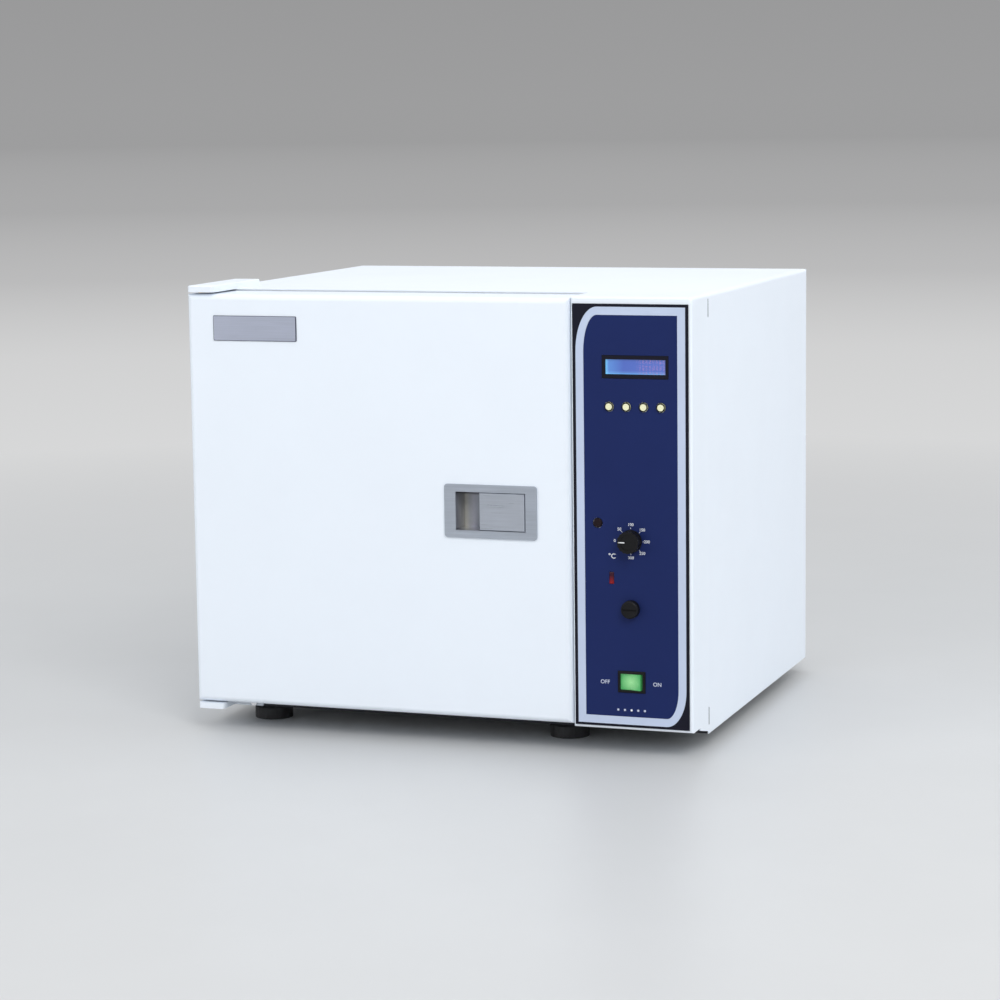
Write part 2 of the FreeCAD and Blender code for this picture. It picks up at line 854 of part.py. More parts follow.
def make_chamber():
    """The stainless chamber: a deep-cornered box with a flange round its mouth."""
    body = new_body("chamber_body")
    low = (chamber_left - s.sheet, chamber_low - s.sheet)
    high = (chamber_right + s.sheet, chamber_high + s.sheet)
    pad(body, rectangle(body, "chamber_block", "XZ_Plane", low, high, -seam), chamber_depth + s.sheet, True)
    flange_low = (low[0] - s.chamber_flange, low[1] - s.chamber_flange)
    flange_high = (high[0] + s.chamber_flange, high[1] + s.chamber_flange)
    pad(body, rectangle(body, "chamber_flange", "XZ_Plane", flange_low, flange_high, -seam), s.sheet)
    mouth = rounded(
        body, "chamber_mouth", "XZ_Plane", (chamber_left, chamber_low), (chamber_right, chamber_high),
        s.chamber_corner_radius, s.sheet - seam,
    )
    pocket(body, mouth, chamber_depth + s.sheet)
    fillet(
        body, "chamber_flange_corners", s.gasket_corner_radius,
        lambda e: runs_along(e, "Y") and near(abs(e.BoundBox.XMin - vent_x.value), flange_high[0] - vent_x),
    )
    probes = [(probe_y, probe_z), (bulb_y, probe_z)]
    wall = s.sheet + s.overrun * 2
    face_x = chamber_right + s.sheet + s.overrun
    pocket(body, facets(body, "chamber_probe_holes", "YZ_Plane", probes, probe_hole, face_x), wall)
    ends = [(heater_y, heater_z), (heater_end_y, heater_z)]
    pocket(body, facets(body, "chamber_heater_holes", "YZ_Plane", ends, heater_hole, face_x), wall)
    vent = circles(
        body, "chamber_vent_hole", "XZ_Plane", [(vent_x, vent_z)], s.vent_radius + s.fit_gap,
        s.overrun - chamber_back,
    )
    pocket(body, vent, s.sheet + s.overrun * 2)
    return node(body, "inner_chamber")


def make_insulation():
    """The mineral wool round the chamber, open at the chamber mouth."""
    front = seam + s.insulation_gap + s.fit_gap
    back = panel_front - s.insulation_rear_gap
    outer = block(
        "wool_outer",
        (inside_left + s.insulation_gap, front, floor_top + s.screw_length / 2 + s.fit_gap * 2),
        (divider_left - s.fit_gap, back, inside_top - s.screw_head_height - s.fit_gap * 2),
    )
    gap = s.sheet + s.fit_gap
    inner = block(
        "wool_inner",
        (chamber_left - gap, front - s.overrun, chamber_low - gap),
        (chamber_right + gap, chamber_back + gap, chamber_high + gap),
    )
    start_x = chamber_right
    reach = divider_left - start_x + s.overrun
    tools = [inner]
    for i, (y, z) in enumerate([(probe_y, probe_z), (bulb_y, probe_z)]):
        tools.append(prism("wool_probe_%d" % i, (start_x, y, z), "X", probe_hole, reach, 6))
    for i, y in enumerate([heater_y, heater_end_y]):
        tools.append(prism("wool_heater_%d" % i, (start_x, y, heater_z), "X", heater_hole, reach, 6))
    vent_length = back - chamber_back + s.overrun
    vent_start = (vent_x, chamber_back, vent_z)
    tools.append(prism("wool_vent", vent_start, "Y", s.vent_radius + s.vent_wall, vent_length, 16))
    return node(cut("wool", outer, *tools), "chamber_insulation")


def make_divider():
    """The wall between the hot section and the controls, with a foot flange."""
    body = new_body("divider_body")
    front = seam + s.frame_sheet + s.fit_gap
    back = panel_front - s.sheet - s.frame_sheet - s.fit_gap * 2
    low = (front, floor_top)
    high = (back, inside_top - s.fit_gap)
    pad(body, rectangle(body, "divider_sheet", "YZ_Plane", low, high, divider_left), s.frame_sheet)
    foot = rectangle(body, "divider_foot", "YZ_Plane", low, (back, floor_top + s.frame_sheet),
                     divider_left + s.frame_sheet)
    pad(body, foot, s.base_flange)
    through = s.frame_sheet + s.overrun
    face_x = divider_left + s.frame_sheet
    probes = [(probe_y, probe_z), (bulb_y, probe_z)]
    pocket(body, facets(body, "divider_probe_holes", "YZ_Plane", probes, probe_hole, face_x), through)
    ends = [(heater_y, heater_z), (heater_end_y, heater_z)]
    pocket(body, facets(body, "divider_heater_holes", "YZ_Plane", ends, heater_hole, face_x), through)
    return node(body, "divider_wall")


def at_foot_top(edge):
    """Whether an edge lies at the top of a foot."""
    return near(edge.BoundBox.ZMin, s.foot_height)


def make_feet():
    """Four moulded rubber feet with a bevelled top and a screw bore from below."""
    feet = []
    for i, (x, y) in enumerate(foot_places, 1):
        name = "foot_%d" % i
        drum = prism(name + "_drum", (x, y, nil), "Z", s.foot_radius, s.foot_height, 24)
        bevel = chamfered(name + "_bevel", drum, s.foot_bevel, at_foot_top)
        start = (x, y, -s.overrun)
        well_radius = s.screw_head_radius + s.fit_gap
        well = prism(name + "_well", start, "Z", well_radius, s.foot_bore_floor + s.overrun, 6)
        bore = prism(name + "_bore", start, "Z", s.foot_bore_radius, s.foot_height + s.overrun * 2, 6)
        feet.append(cut(name, bevel, well, bore))
    return node(group("feet_set", feet), "feet")


def make_rear_spacers():
    """Rubber stand-offs that keep the back clear of the wall."""
    spacers = []
    for i, (side, share) in enumerate([(-1, 0.22), (1, 0.22), (-1, 0.78), (1, 0.78)]):
        name = "spacer_%d" % (i + 1)
        start = (side * (right - s.spacer_inset), rear, base + s.cover_height * share)
        root = prism(name + "_root", start, "Y", s.spacer_radius, s.spacer_length * 0.7, 12)
        tip = prism(name + "_tip", start, "Y", s.spacer_radius * 0.7, s.spacer_length, 12)
        spacers.append(fuse(name, root, tip))
    return node(group("spacer_set", spacers), "rear_spacers")


def make_vent_pipe():
    """The chamber's air outlet through the rear insulation."""
    body = new_body("vent_body")
    inner = s.vent_radius - s.vent_wall
    start = chamber_back - s.frame_sheet * 2
    end = rear + s.vent_reach
    spigot = s.vent_radius - s.vent_step
    shoulder = end - s.vent_spigot_length
    profile = [
        (inner, start), (s.vent_radius, start), (s.vent_radius, shoulder),
        (spigot, shoulder), (spigot, end), (inner, end),
    ]
    revolve(body, outline(body, "vent_profile", "XZ_Plane", profile))
    return node(place(body, vent_x, nil, vent_z, HEAD_BACK), "vent_pipe")


# Chamber fittings

rack_low = chamber_low + s.rack_rise
rack_length = chamber_depth - s.rack_front_inset - s.rack_rear_gap
rack_middle = seam + s.rack_front_inset + rack_length / 2
rack_height = chamber_height - s.rack_rise - s.rack_top_gap
rack_span = rack_height - s.rack_first_ledge - s.rack_last_gap
rack_step_shares = (0.0, 0.2, 0.4, 0.6, 0.8, 1.0)
shelf_depth = chamber_depth - s.shelf_front_inset - s.shelf_rear_gap
guard_depth = chamber_depth - s.guard_end_gap * 2


def make_rack(name, wall_x, turn):
    """A folded side rack: an upright sheet with a ledge at each level, drawn as one comb profile."""
    body = new_body(name + "_body")
    points = [(nil, nil), (s.rack_thickness, nil)]
    for share in rack_step_shares:
        z = s.rack_first_ledge + rack_span * share
        points += [
            (s.rack_thickness, z),
            (s.rack_ledge, z),
            (s.rack_ledge, z + s.rack_thickness),
            (s.rack_thickness, z + s.rack_thickness),
        ]
    points += [(s.rack_thickness, rack_height), (nil, rack_height)]
    comb = outline(body, name + "_comb", "XZ_Plane", points, rack_length / 2)
    pad(body, comb, rack_length, True)
    return node(place(body, wall_x, rack_middle, rack_low, turn), name)


def make_shelf(name, share):
    """A slotted stainless shelf with turned-down front and rear edges between the ledges."""
    body = new_body(name + "_body")
    half = chamber_width / 2 - s.rack_thickness - s.fit_gap - s.shelf_side_gap
    depth = shelf_depth
    thick = s.shelf_sheet
    pad(body, rectangle(body, name + "_plate", "XY_Plane", (-half, nil), (half, depth)), thick)
    inner = half - s.rack_ledge
    front = [(-inner, nil), (inner, nil), (inner, thick), (-inner, thick)]
    back = [(-inner, depth - thick), (inner, depth - thick), (inner, depth), (-inner, depth)]
    edges = outlines(body, name + "_edges", "XY_Plane", [front, back])
    pad(body, edges, s.shelf_edge, True)
    columns = 3
    rows = 9
    pitch_x = inner * 2 / columns
    pitch_y = depth / (rows + 1)
    loops = []
    for column in range(columns):
        x = -inner + pitch_x * (column + 0.5)
        low_x = x - pitch_x / 2 + s.shelf_slot_bridge
        high_x = x + pitch_x / 2 - s.shelf_slot_bridge
        low_y = pitch_y - s.shelf_slot_width / 2
        high_y = pitch_y + s.shelf_slot_width / 2
        loops.append([(low_x, low_y), (high_x, low_y), (high_x, high_y), (low_x, high_y)])
    slots = outlines(body, name + "_slots", "XY_Plane", loops, thick)
    made = pocket(body, slots, thick + s.overrun)
    repeat_along(body, made, slots, "V_Axis", pitch_y, rows)
    z = rack_low + s.rack_first_ledge + rack_span * share + s.rack_thickness + s.fit_gap
    return node(place(body, vent_x, seam + s.shelf_front_inset, z), name)


def make_heater_guard():
    """The slotted plate that stands over the heater on its turned-down front and rear edges."""
    body = new_body("guard_body")
    half = chamber_width / 2 - s.shelf_side_gap
    inner = half - s.chamber_corner_radius
    rise = s.guard_rise
    depth = guard_depth
    profile = [
        (nil, nil), (s.sheet, nil), (s.sheet, rise - s.sheet), (depth - s.sheet, rise - s.sheet),
        (depth - s.sheet, nil), (depth, nil), (depth, rise), (nil, rise),
    ]
    pad(body, outline(body, "guard_profile", "YZ_Plane", profile, -inner), inner * 2)
    for name, side in (("left", -1), ("right", 1)):
        corner = (inner * side, nil)
        opposite = (half * side, depth)
        wing = rectangle(body, "guard_%s_wing" % name, "XY_Plane", corner, opposite, rise - s.sheet)
        pad(body, wing, s.sheet)
    columns = 3
    rows = 7
    pitch_x = inner * 2 / columns
    pitch_y = guard_depth / (rows + 1)
    loops = []
    for column in range(columns):
        x = -inner + pitch_x * (column + 0.5)
        low_x = x - pitch_x / 2 + s.shelf_slot_bridge
        high_x = x + pitch_x / 2 - s.shelf_slot_bridge
        low_y = pitch_y - s.shelf_slot_width / 2
        high_y = pitch_y + s.shelf_slot_width / 2
        loops.append([(low_x, low_y), (high_x, low_y), (high_x, high_y), (low_x, high_y)])
    slots = outlines(body, "guard_slots", "XY_Plane", loops, rise)
    made = pocket(body, slots, s.sheet + s.overrun)
    repeat_along(body, made, slots, "V_Axis", pitch_y, rows)
    front = seam + s.guard_end_gap
    return node(place(body, vent_x, front, chamber_low), "heater_guard")


def make_heater():
    """A heater bar bent into four runs, its two ends leading out at the right."""
    turn_x = chamber_left + s.heater_side_inset + heater_pitch / 2
    far_x = chamber_right - s.heater_side_inset - heater_pitch / 2
    end_x = chamber_right + s.heater_end_reach
    parts = []
    for i in range(4):
        start = (turn_x, heater_y + heater_pitch * i, heater_z)
        stop = end_x if i in (0, 3) else far_x
        parts.append(prism("heater_run_%d" % i, start, "X", s.heater_radius, stop - turn_x, 6))
    for i, (x, turn) in enumerate([(turn_x, 90), (far_x, -90), (turn_x, 90)]):
        ring = doc.addObject("Part::RegularPolygon", "heater_ring_%d" % i)
        ring.Polygon = 6
        bind(ring, "Circumradius", s.heater_radius)
        place(ring, heater_pitch / 2, nil, nil, HEAD_FRONT)
        bend = doc.addObject("Part::Revolution", "heater_bend_%d" % i)
        bend.Source = ring
        bend.Axis = Vector(0, 0, 1)
        bend.Angle = 180
        bend.Solid = True
        y = heater_y + heater_pitch * (i + 0.5)
        parts.append(place(bend, x, y, heater_z, Rotation(Vector(0, 0, 1), turn)))
    return node(fuse("heater", *parts), "heater_element")


def make_probe(name, y, head):
    """A sheathed sensor through the right chamber wall with a head behind the divider."""
    start = chamber_right - s.probe_reach
    head_x = divider_left + s.frame_sheet + s.fit_gap
    sheath = prism(name + "_sheath", (start, y, probe_z), "X", s.probe_radius, head_x - start + head, 6)
    return [sheath, prism(name + "_head", (head_x, y, probe_z), "X", s.probe_head_radius, head, 6)]


def make_temperature_probe():
    """The controller's sensor."""
    return node(fuse("probe", *make_probe("probe", probe_y, s.probe_head_length)), "temperature_probe")


def make_capillary():
    """The thermostat's bulb and the thin tube that leads from it to the thermostat."""
    parts = make_probe("bulb", bulb_y, s.probe_head_length)
    r = s.capillary_radius
    start_x = divider_left + s.frame_sheet + s.fit_gap + s.probe_head_length
    end_y = thermostat_back + s.fit_gap
    bend = (dial_x + r, bulb_y + r, probe_z + r)
    parts.append(block("tube_side", (start_x - r, bulb_y - r, probe_z - r), bend))
    parts.append(block("tube_drop", (dial_x - r, bulb_y - r, dial_z - r), bend))
    parts.append(block("tube_front", (dial_x - r, end_y, dial_z - r), (dial_x + r, bulb_y + r, dial_z + r)))
    return node(fuse("capillary", *parts), "thermostat_capillary")


# Control column

fascia_low = door_low - s.fascia_drop
fascia_back = face + s.frame_sheet
panel_left = fascia_left + s.panel_side_margin
panel_right = right - s.panel_right_margin
panel_low = fascia_low + s.panel_bottom_rise
panel_high = top - s.panel_top_drop
panel_y = face - s.panel_thickness
film_y = panel_y - s.overlay_thickness
display_x = panel_left + s.display_left
display_z = panel_high - s.display_drop
button_z = panel_high - s.button_drop
button_places = [(panel_left + s.button_left + s.button_pitch * i, button_z) for i in range(4)]
reset_x = panel_left + s.reset_left
reset_z = panel_low + s.reset_rise
dial_x = panel_left + s.dial_left
dial_z = panel_low + s.dial_rise
lamp_x = panel_left + s.lamp_left
lamp_z = panel_low + s.lamp_rise
fuse_z = panel_low + s.fuse_rise
rocker_z = panel_low + s.rocker_rise
thermostat_back = fascia_back + s.fit_gap + s.thermostat_depth
latch_z = door_low + s.latch_rise + s.latch_height / 2
pivot_x = door_right - s.latch_right_inset - s.latch_border_side - s.paddle_pivot_inset
pivot_y = face + s.paddle_pivot_depth
bolt_y = pivot_y + s.paddle_arm_reach


def control_openings(name, start_y, depth, sides, rocker_margin, fuse_radius):
    """Tools that cut the display, button, dial, lamp, fuse and switch openings from the front."""
    gap = s.fit_gap
    end_y = start_y + depth
    lamp_half = s.lamp_width / 2 + gap
    lamp_rise = s.lamp_height / 2 + gap
    wide = s.rocker_bezel_width / 2 + rocker_margin
    high = s.rocker_bezel_height / 2 + rocker_margin
    tools = []
    for part, x0, z0, x1, z1 in (
        ("display", display_x - gap, display_z - gap,
         display_x + s.display_width + gap, display_z + s.display_height + gap),
        ("lamp", lamp_x - lamp_half, lamp_z - lamp_rise, lamp_x + lamp_half, lamp_z + lamp_rise),
        ("rocker", dial_x - wide, rocker_z - high, dial_x + wide, rocker_z + high),
    ):
        tools.append(block("%s_%s" % (name, part), (x0, start_y, z0), (x1, end_y, z1)))
    rounds = [("button_%d" % i, x, z, s.button_radius) for i, (x, z) in enumerate(button_places)]
    rounds.append(("reset", reset_x, reset_z, s.reset_radius))
    rounds.append(("dial", dial_x, dial_z, s.thermostat_neck_radius))
    for part, x, z, radius in rounds:
        start = (x, start_y, z)
        tools.append(prism("%s_%s" % (name, part), start, "Y", radius + s.button_hole_gap, depth, sides))
    tools.append(prism(name + "_fuse", (dial_x, start_y, fuse_z), "Y", fuse_radius + gap, depth, sides))
    return tools


def make_control_housing():
    """The control column's own pressed box with a slanting skirt at the lower right."""
    body = new_body("housing_body")
    length = seam - face
    outer = rectangle(body, "housing_block", "XZ_Plane", (fascia_left, fascia_low), (right, top), -face)
    pad(body, outer, length, True)
    fillet(
        body, "housing_bend", s.bend_radius,
        lambda e: runs_along(e, "Y") and near(e.BoundBox.XMin, right) and near(e.BoundBox.ZMin, top),
    )
    fillet(body, "housing_edges", s.fascia_edge_radius, lambda e: near(e.BoundBox.YMax, face))
    sheet_in = s.frame_sheet
    inside = rectangle(
        body, "housing_inside", "XZ_Plane", (fascia_left + sheet_in, fascia_low + sheet_in),
        (right - sheet_in, top - sheet_in), -seam,
    )
    pocket(body, inside, length - sheet_in, True)
    tab = outline(
        body, "housing_skirt", "YZ_Plane",
        [
            (face + s.tab_front_inset, fascia_low + sheet_in),
            (face + s.tab_front_inset, fascia_low - s.tab_front_drop),
            (seam, fascia_low - s.tab_rear_drop),
            (seam, fascia_low + sheet_in),
        ],
        right - sheet_in,
    )
    pad(body, tab, sheet_in)
    reach = sheet_in + s.overrun * 2
    margin = s.fit_gap - s.rocker_bezel_reach
    tools = control_openings("housing", face - s.overrun, reach, 8, margin, s.fuse_body_radius)
    half_z = s.bolt_height / 2 + s.overrun
    half_y = s.bolt_thickness / 2 + s.overrun
    low = (fascia_left - s.overrun, bolt_y - half_y, latch_z - half_z)
    high = (fascia_left + sheet_in + s.overrun, bolt_y + half_y, latch_z + half_z)
    tools.append(block("housing_strike", low, high))
    return node(cut("housing", body, *tools), "control_housing")


def make_control_panel():
    """The flat backing plate that carries the trim and the blue film."""
    plate = block("panel_sheet", (panel_left, panel_y, panel_low), (panel_right, face, panel_high))
    reach = s.panel_thickness + s.overrun * 2
    margin = s.fit_gap - s.rocker_bezel_reach
    tools = control_openings("panel", panel_y - s.overrun, reach, 16, margin, s.fuse_body_radius)
    return node(cut("panel", plate, *tools), "control_panel")


ELLIPSE_UPRIGHT = Rotation(Vector(0, 0, 1), Vector(1, 0, 0), Vector(0, 1, 0))


def leaf(name, low, high, top_corner, low_corner, thickness):
    """A sheet with elliptical corners at the upper left and lower right, standing in the XZ plane."""
    x0, z0 = low
    x1, z1 = high
    across, along = top_corner
    sheet_block = block(name + "_sheet", (x0, panel_y - thickness, z0), (x1, panel_y, z1))
    tools = []
    for side, (wide, tall) in (("upper", (across, along)), ("lower", low_corner)):
        upper = side == "upper"
        centre_x = x0 + wide if upper else x1 - wide
        centre_z = z1 - tall if upper else z0 + tall
        corner_x = x0 - s.overrun if upper else centre_x
        corner_z = centre_z if upper else z0 - s.overrun
        corner = block(
            "%s_%s_corner" % (name, side),
            (corner_x, panel_y - thickness - s.overrun, corner_z),
            (corner_x + wide + s.overrun, panel_y + s.overrun, corner_z + tall + s.overrun),
        )
        disc = doc.addObject("Part::Ellipse", "%s_%s_ellipse" % (name, side))
        bind(disc, "MajorRadius", tall)
        bind(disc, "MinorRadius", wide)
        place(disc, centre_x, panel_y - thickness - s.overrun * 2, centre_z, ELLIPSE_UPRIGHT)
        drum = doc.addObject("Part::Extrusion", "%s_%s_drum" % (name, side))
        drum.Base = disc
        drum.DirMode = "Custom"
        drum.Dir = Vector(0, 1, 0)
        drum.Solid = True
        bind(drum, "LengthFwd", thickness + s.overrun * 4)
        tools.append(cut("%s_%s_spandrel" % (name, side), corner, drum))
    return cut(name + "_leaf", sheet_block, *tools)


trim_low = (panel_left + s.trim_left_margin, panel_low + s.trim_bottom_margin)
trim_high = (panel_right - s.trim_right_margin, panel_high - s.trim_top_margin)
trim_corners = (
    (s.trim_top_corner_across, s.trim_top_corner_along),
    (s.trim_low_corner_across, s.trim_low_corner_along),
)


def inner_leaf(name, inset, thickness):
    """The trim's outline moved inwards."""
    low = (trim_low[0] + inset, trim_low[1] + inset)
    high = (trim_high[0] - inset, trim_high[1] - inset)
    corners = [(across - inset, along - inset) for across, along in trim_corners]
    return leaf(name, low, high, corners[0], corners[1], thickness)


def make_panel_trim():
    """The silver frame with two large elliptical corners."""
    outer = inner_leaf("trim_outer", nil, s.trim_thickness)
    inner = inner_leaf("trim_inner", s.trim_width, s.trim_thickness + s.overrun)
    return node(cut("trim", outer, inner), "panel_trim")


def make_panel_overlay():
    """The blue film inside the trim with its openings."""
    film = inner_leaf("film", s.trim_width + s.film_gap, s.overlay_thickness)
    depth = s.overlay_thickness + s.overrun
    tools = control_openings("film", film_y - s.overrun, depth, 16, s.fit_gap, s.fuse_cap_radius)
    return node(cut("film_open", film, *tools), "panel_overlay")


def make_display():
    """The display's bezel, its glass and the board behind it."""
    x0 = display_x
    z0 = display_z
    x1 = x0 + s.display_width
    z1 = z0 + s.display_height
    side = s.display_border_side
    end = s.display_border_end
    outer = block("bezel_outer", (x0, film_y, z0), (x1, panel_y + s.display_bezel_depth, z1))
    window = block(
        "bezel_window", (x0 + side, film_y - s.overrun, z0 + end),
        (x1 - side, panel_y + s.display_bezel_depth + s.overrun, z1 - end),
    )
    node(cut("bezel", outer, window), "lcd_bezel")
    gap = s.fit_gap
    glass_y = panel_y + s.display_recess
    low = (x0 + side + gap, glass_y, z0 + end + gap)
    node(block("screen", low, (x1 - side - gap, glass_y + s.display_glass, z1 - end - gap)), "lcd_screen")
    margin = s.display_board_margin
    board_y = panel_y + s.display_bezel_depth + gap
    low = (x0 - margin, board_y, z0 - margin)
    board = block("display_board", low, (x1 + margin, board_y + s.board_thickness, z1 + margin))
    chip_y = board_y + s.board_thickness
    chips = []
    for i, share in enumerate((0.25, 0.7)):
        low = (x0 + s.display_width * share, chip_y, z0 + side)
        high = (low[0] + s.display_bezel_depth * 3, chip_y + s.board_thickness, z1 - side)
        chips.append(block("display_chip_%d" % i, low, high))
    node(fuse("display_boards", board, *chips), "lcd_board")


keypad_y = fascia_back + s.keypad_gap
switch_front = keypad_y - s.switch_height


def push_button(name, x, z, radius, reach, stem_end):
    """A button with a bevelled face, a holding flange behind the panel and a stem."""
    flange_y = fascia_back + s.fit_gap
    front = panel_y - reach
    flange_end = flange_y + s.button_flange_thickness
    key = prism(name + "_key", (x, front, z), "Y", radius, flange_y - front, 16)
    face_edges = chamfered(name + "_face", key, reach * 0.4, lambda e: near(e.BoundBox.YMax, front))
    flange = prism(
        name + "_flange", (x, flange_y, z), "Y", radius + s.button_flange, s.button_flange_thickness, 8
    )
    stem = prism(name + "_stem", (x, flange_end, z), "Y", s.button_stem_radius, stem_end - flange_end, 6)
    return node(fuse(name + "_set", face_edges, flange, stem), name)


def make_menu_buttons():
    """Four menu buttons in a row."""
    stem_end = switch_front - s.button_travel - s.fit_gap
    for i, (x, z) in enumerate(button_places, 1):
        push_button("menu_button_%d" % i, x, z, s.button_radius, s.button_reach, stem_end)


def make_keypad_board():
    """The board behind the menu buttons with one switch for each and two posts."""
    centre_x = button_places[0][0] + s.button_pitch * 1.5
    half = s.keypad_width / 2
    rise = s.keypad_height / 2
    parts = [block(
        "keypad", (centre_x - half, keypad_y, button_z - rise),
        (centre_x + half, keypad_y + s.board_thickness, button_z + rise),
    )]
    edge = s.switch_size / 2
    for i, (x, z) in enumerate(button_places):
        low = (x - edge, switch_front, z - edge)
        parts.append(block("keypad_switch_%d" % i, low, (x + edge, keypad_y, z + edge)))
    for i, side in enumerate((-1, 1)):
        start = (centre_x + (half - s.standoff_radius) * side, fascia_back, button_z)
        parts.append(prism("keypad_post_%d" % i, start, "Y", s.standoff_radius, s.keypad_gap, 6))
    return node(fuse("keypad_set", *parts), "keypad_board")


def make_reset():
    """The over-temperature reset button and the switch behind it."""
    bore_floor = fascia_back + s.reset_body_length / 2
    stem_end = bore_floor - s.reset_travel - s.fit_gap
    push_button("reset_button", reset_x, reset_z, s.reset_radius, s.reset_reach, stem_end)
    start = (reset_x, fascia_back, reset_z)
    case = prism("reset_case", start, "Y", s.reset_body_radius, s.reset_body_length, 8)
    bore_radius = s.reset_radius + s.button_flange + s.knob_gap
    well = prism("reset_well", start, "Y", bore_radius, bore_floor - fascia_back, 8)
    return node(cut("reset_bored", case, well), "reset_switch")


def shaft_profile(body, name, radius, flat, lift):
    """A D-shaped outline: a circle with one flat."""
    sketch = new_sketch(body, name, "XY_Plane", lift)
    drop = radius - flat
    angle = math.acos(drop.value / radius.value)
    circle = Part.Circle(Vector(0, 0, 0), Vector(0, 0, 1), float(radius))
    sketch.addGeometry(Part.ArcOfCircle(circle, math.pi / 2 + angle, math.pi * 2.5 - angle))
    end = Vector(radius.value * math.sin(angle), drop.value, 0)
    start = Vector(-end.x, drop.value, 0)
    sketch.addGeometry(Part.LineSegment(end, start))
    sketch.addConstraint(Sketcher.Constraint("Coincident", 0, 3, -1, 1))
    sketch.addConstraint(Sketcher.Constraint("Coincident", 0, 2, 1, 1))
    sketch.addConstraint(Sketcher.Constraint("Coincident", 1, 2, 0, 1))
    sketch.addConstraint(Sketcher.Constraint("Horizontal", 1))
    index = sketch.addConstraint(Sketcher.Constraint("Radius", 0, float(radius)))
    bind(sketch, "Constraints[%d]" % index, radius)
    index = sketch.addConstraint(Sketcher.Constraint("DistanceY", -1, 1, 1, 1, float(drop)))
    bind(sketch, "Constraints[%d]" % index, drop)
    return sketch


knob_back = panel_y - s.knob_gap
knob_front = face - s.knob_reach
knob_length = knob_back - knob_front
shaft_reach = knob_length * 0.7


def make_knob():
    """The fluted control knob with a skirt, a dished front and a pointer groove."""
    body = new_body("knob_body")
    dish = s.knob_dish
    skirt = facets(body, "knob_skirt", "XY_Plane", [(nil, nil)], s.knob_skirt_radius, nil, 24)
    pad(body, skirt, s.knob_skirt_height)
    flutes = []
    for i in range(32):
        turn = math.radians(360 * i / 32)
        radius = s.knob_radius - s.knob_flute_depth if i % 2 else s.knob_radius
        flutes.append((radius * round(math.cos(turn), 6), radius * round(math.sin(turn), 6)))
    pad(body, outline(body, "knob_grip", "XY_Plane", flutes), knob_length)
    hollow = s.knob_radius * 0.7
    face_dish = facets(body, "knob_face", "XY_Plane", [(nil, nil)], hollow, knob_length, 16)
    pocket(body, face_dish, dish)
    half = s.knob_mark_width / 2
    groove = rectangle(
        body, "knob_groove", "XY_Plane", (-s.knob_skirt_radius, -half), (-hollow * 0.25, half), knob_length
    )
    pocket(body, groove, dish * 1.6)
    bore = shaft_profile(body, "knob_bore", s.shaft_radius + s.shaft_gap, s.shaft_flat, -s.overrun)
    pocket(body, bore, shaft_reach + s.fit_gap + s.overrun, True)
    return node(place(body, dial_x, knob_back, dial_z, HEAD_FRONT), "thermostat_knob")


def make_shaft():
    """The thermostat's D-shaped spindle."""
    body = new_body("shaft_body")
    depth = s.thermostat_depth / 2
    back = knob_back - fascia_back - depth
    pad(body, shaft_profile(body, "shaft_outline", s.shaft_radius, s.shaft_flat, back), shaft_reach - back)
    return node(place(body, dial_x, knob_back, dial_z, HEAD_FRONT), "thermostat_shaft")


def make_thermostat():
    """The thermostat's body with its neck through the panel."""
    body = new_body("thermostat_case")
    front = fascia_back + s.fit_gap
    half = s.thermostat_size / 2
    low = (dial_x - half, dial_z - half)
    high = (dial_x + half, dial_z + half)
    pad(body, rectangle(body, "thermostat_block", "XZ_Plane", low, high, -front), s.thermostat_depth, True)
    middle = [(dial_x, dial_z)]
    neck = facets(body, "thermostat_neck", "XZ_Plane", middle, s.thermostat_neck_radius, -panel_y, 8)
    pad(body, neck, front - panel_y, True)
    bore = circles(body, "thermostat_bore", "XZ_Plane", middle, s.shaft_radius + s.shaft_gap, -panel_y)
    pocket(body, bore, fascia_back + s.thermostat_depth / 2 + s.fit_gap - panel_y)
    return node(body, "thermostat_body")


def make_lamp():
    """The fault lamp: a tall lens with its holder behind the panel."""
    half = s.lamp_width / 2
    rise = s.lamp_height / 2
    front = panel_y - s.lamp_reach
    back = fascia_back + s.fit_gap
    lens = block("lamp_lens", (lamp_x - half, front, lamp_z - rise), (lamp_x + half, back, lamp_z + rise))
    edge = chamfered("lamp_edges", lens, s.lamp_reach * 0.6, lambda e: near(e.BoundBox.YMax, front))
    wide = s.lamp_width
    tall = rise + half
    end = back + s.lamp_body_length
    holder = block("lamp_holder", (lamp_x - wide, back, lamp_z - tall), (lamp_x + wide, end, lamp_z + tall))
    return node(fuse("lamp", edge, holder), "fault_lamp")


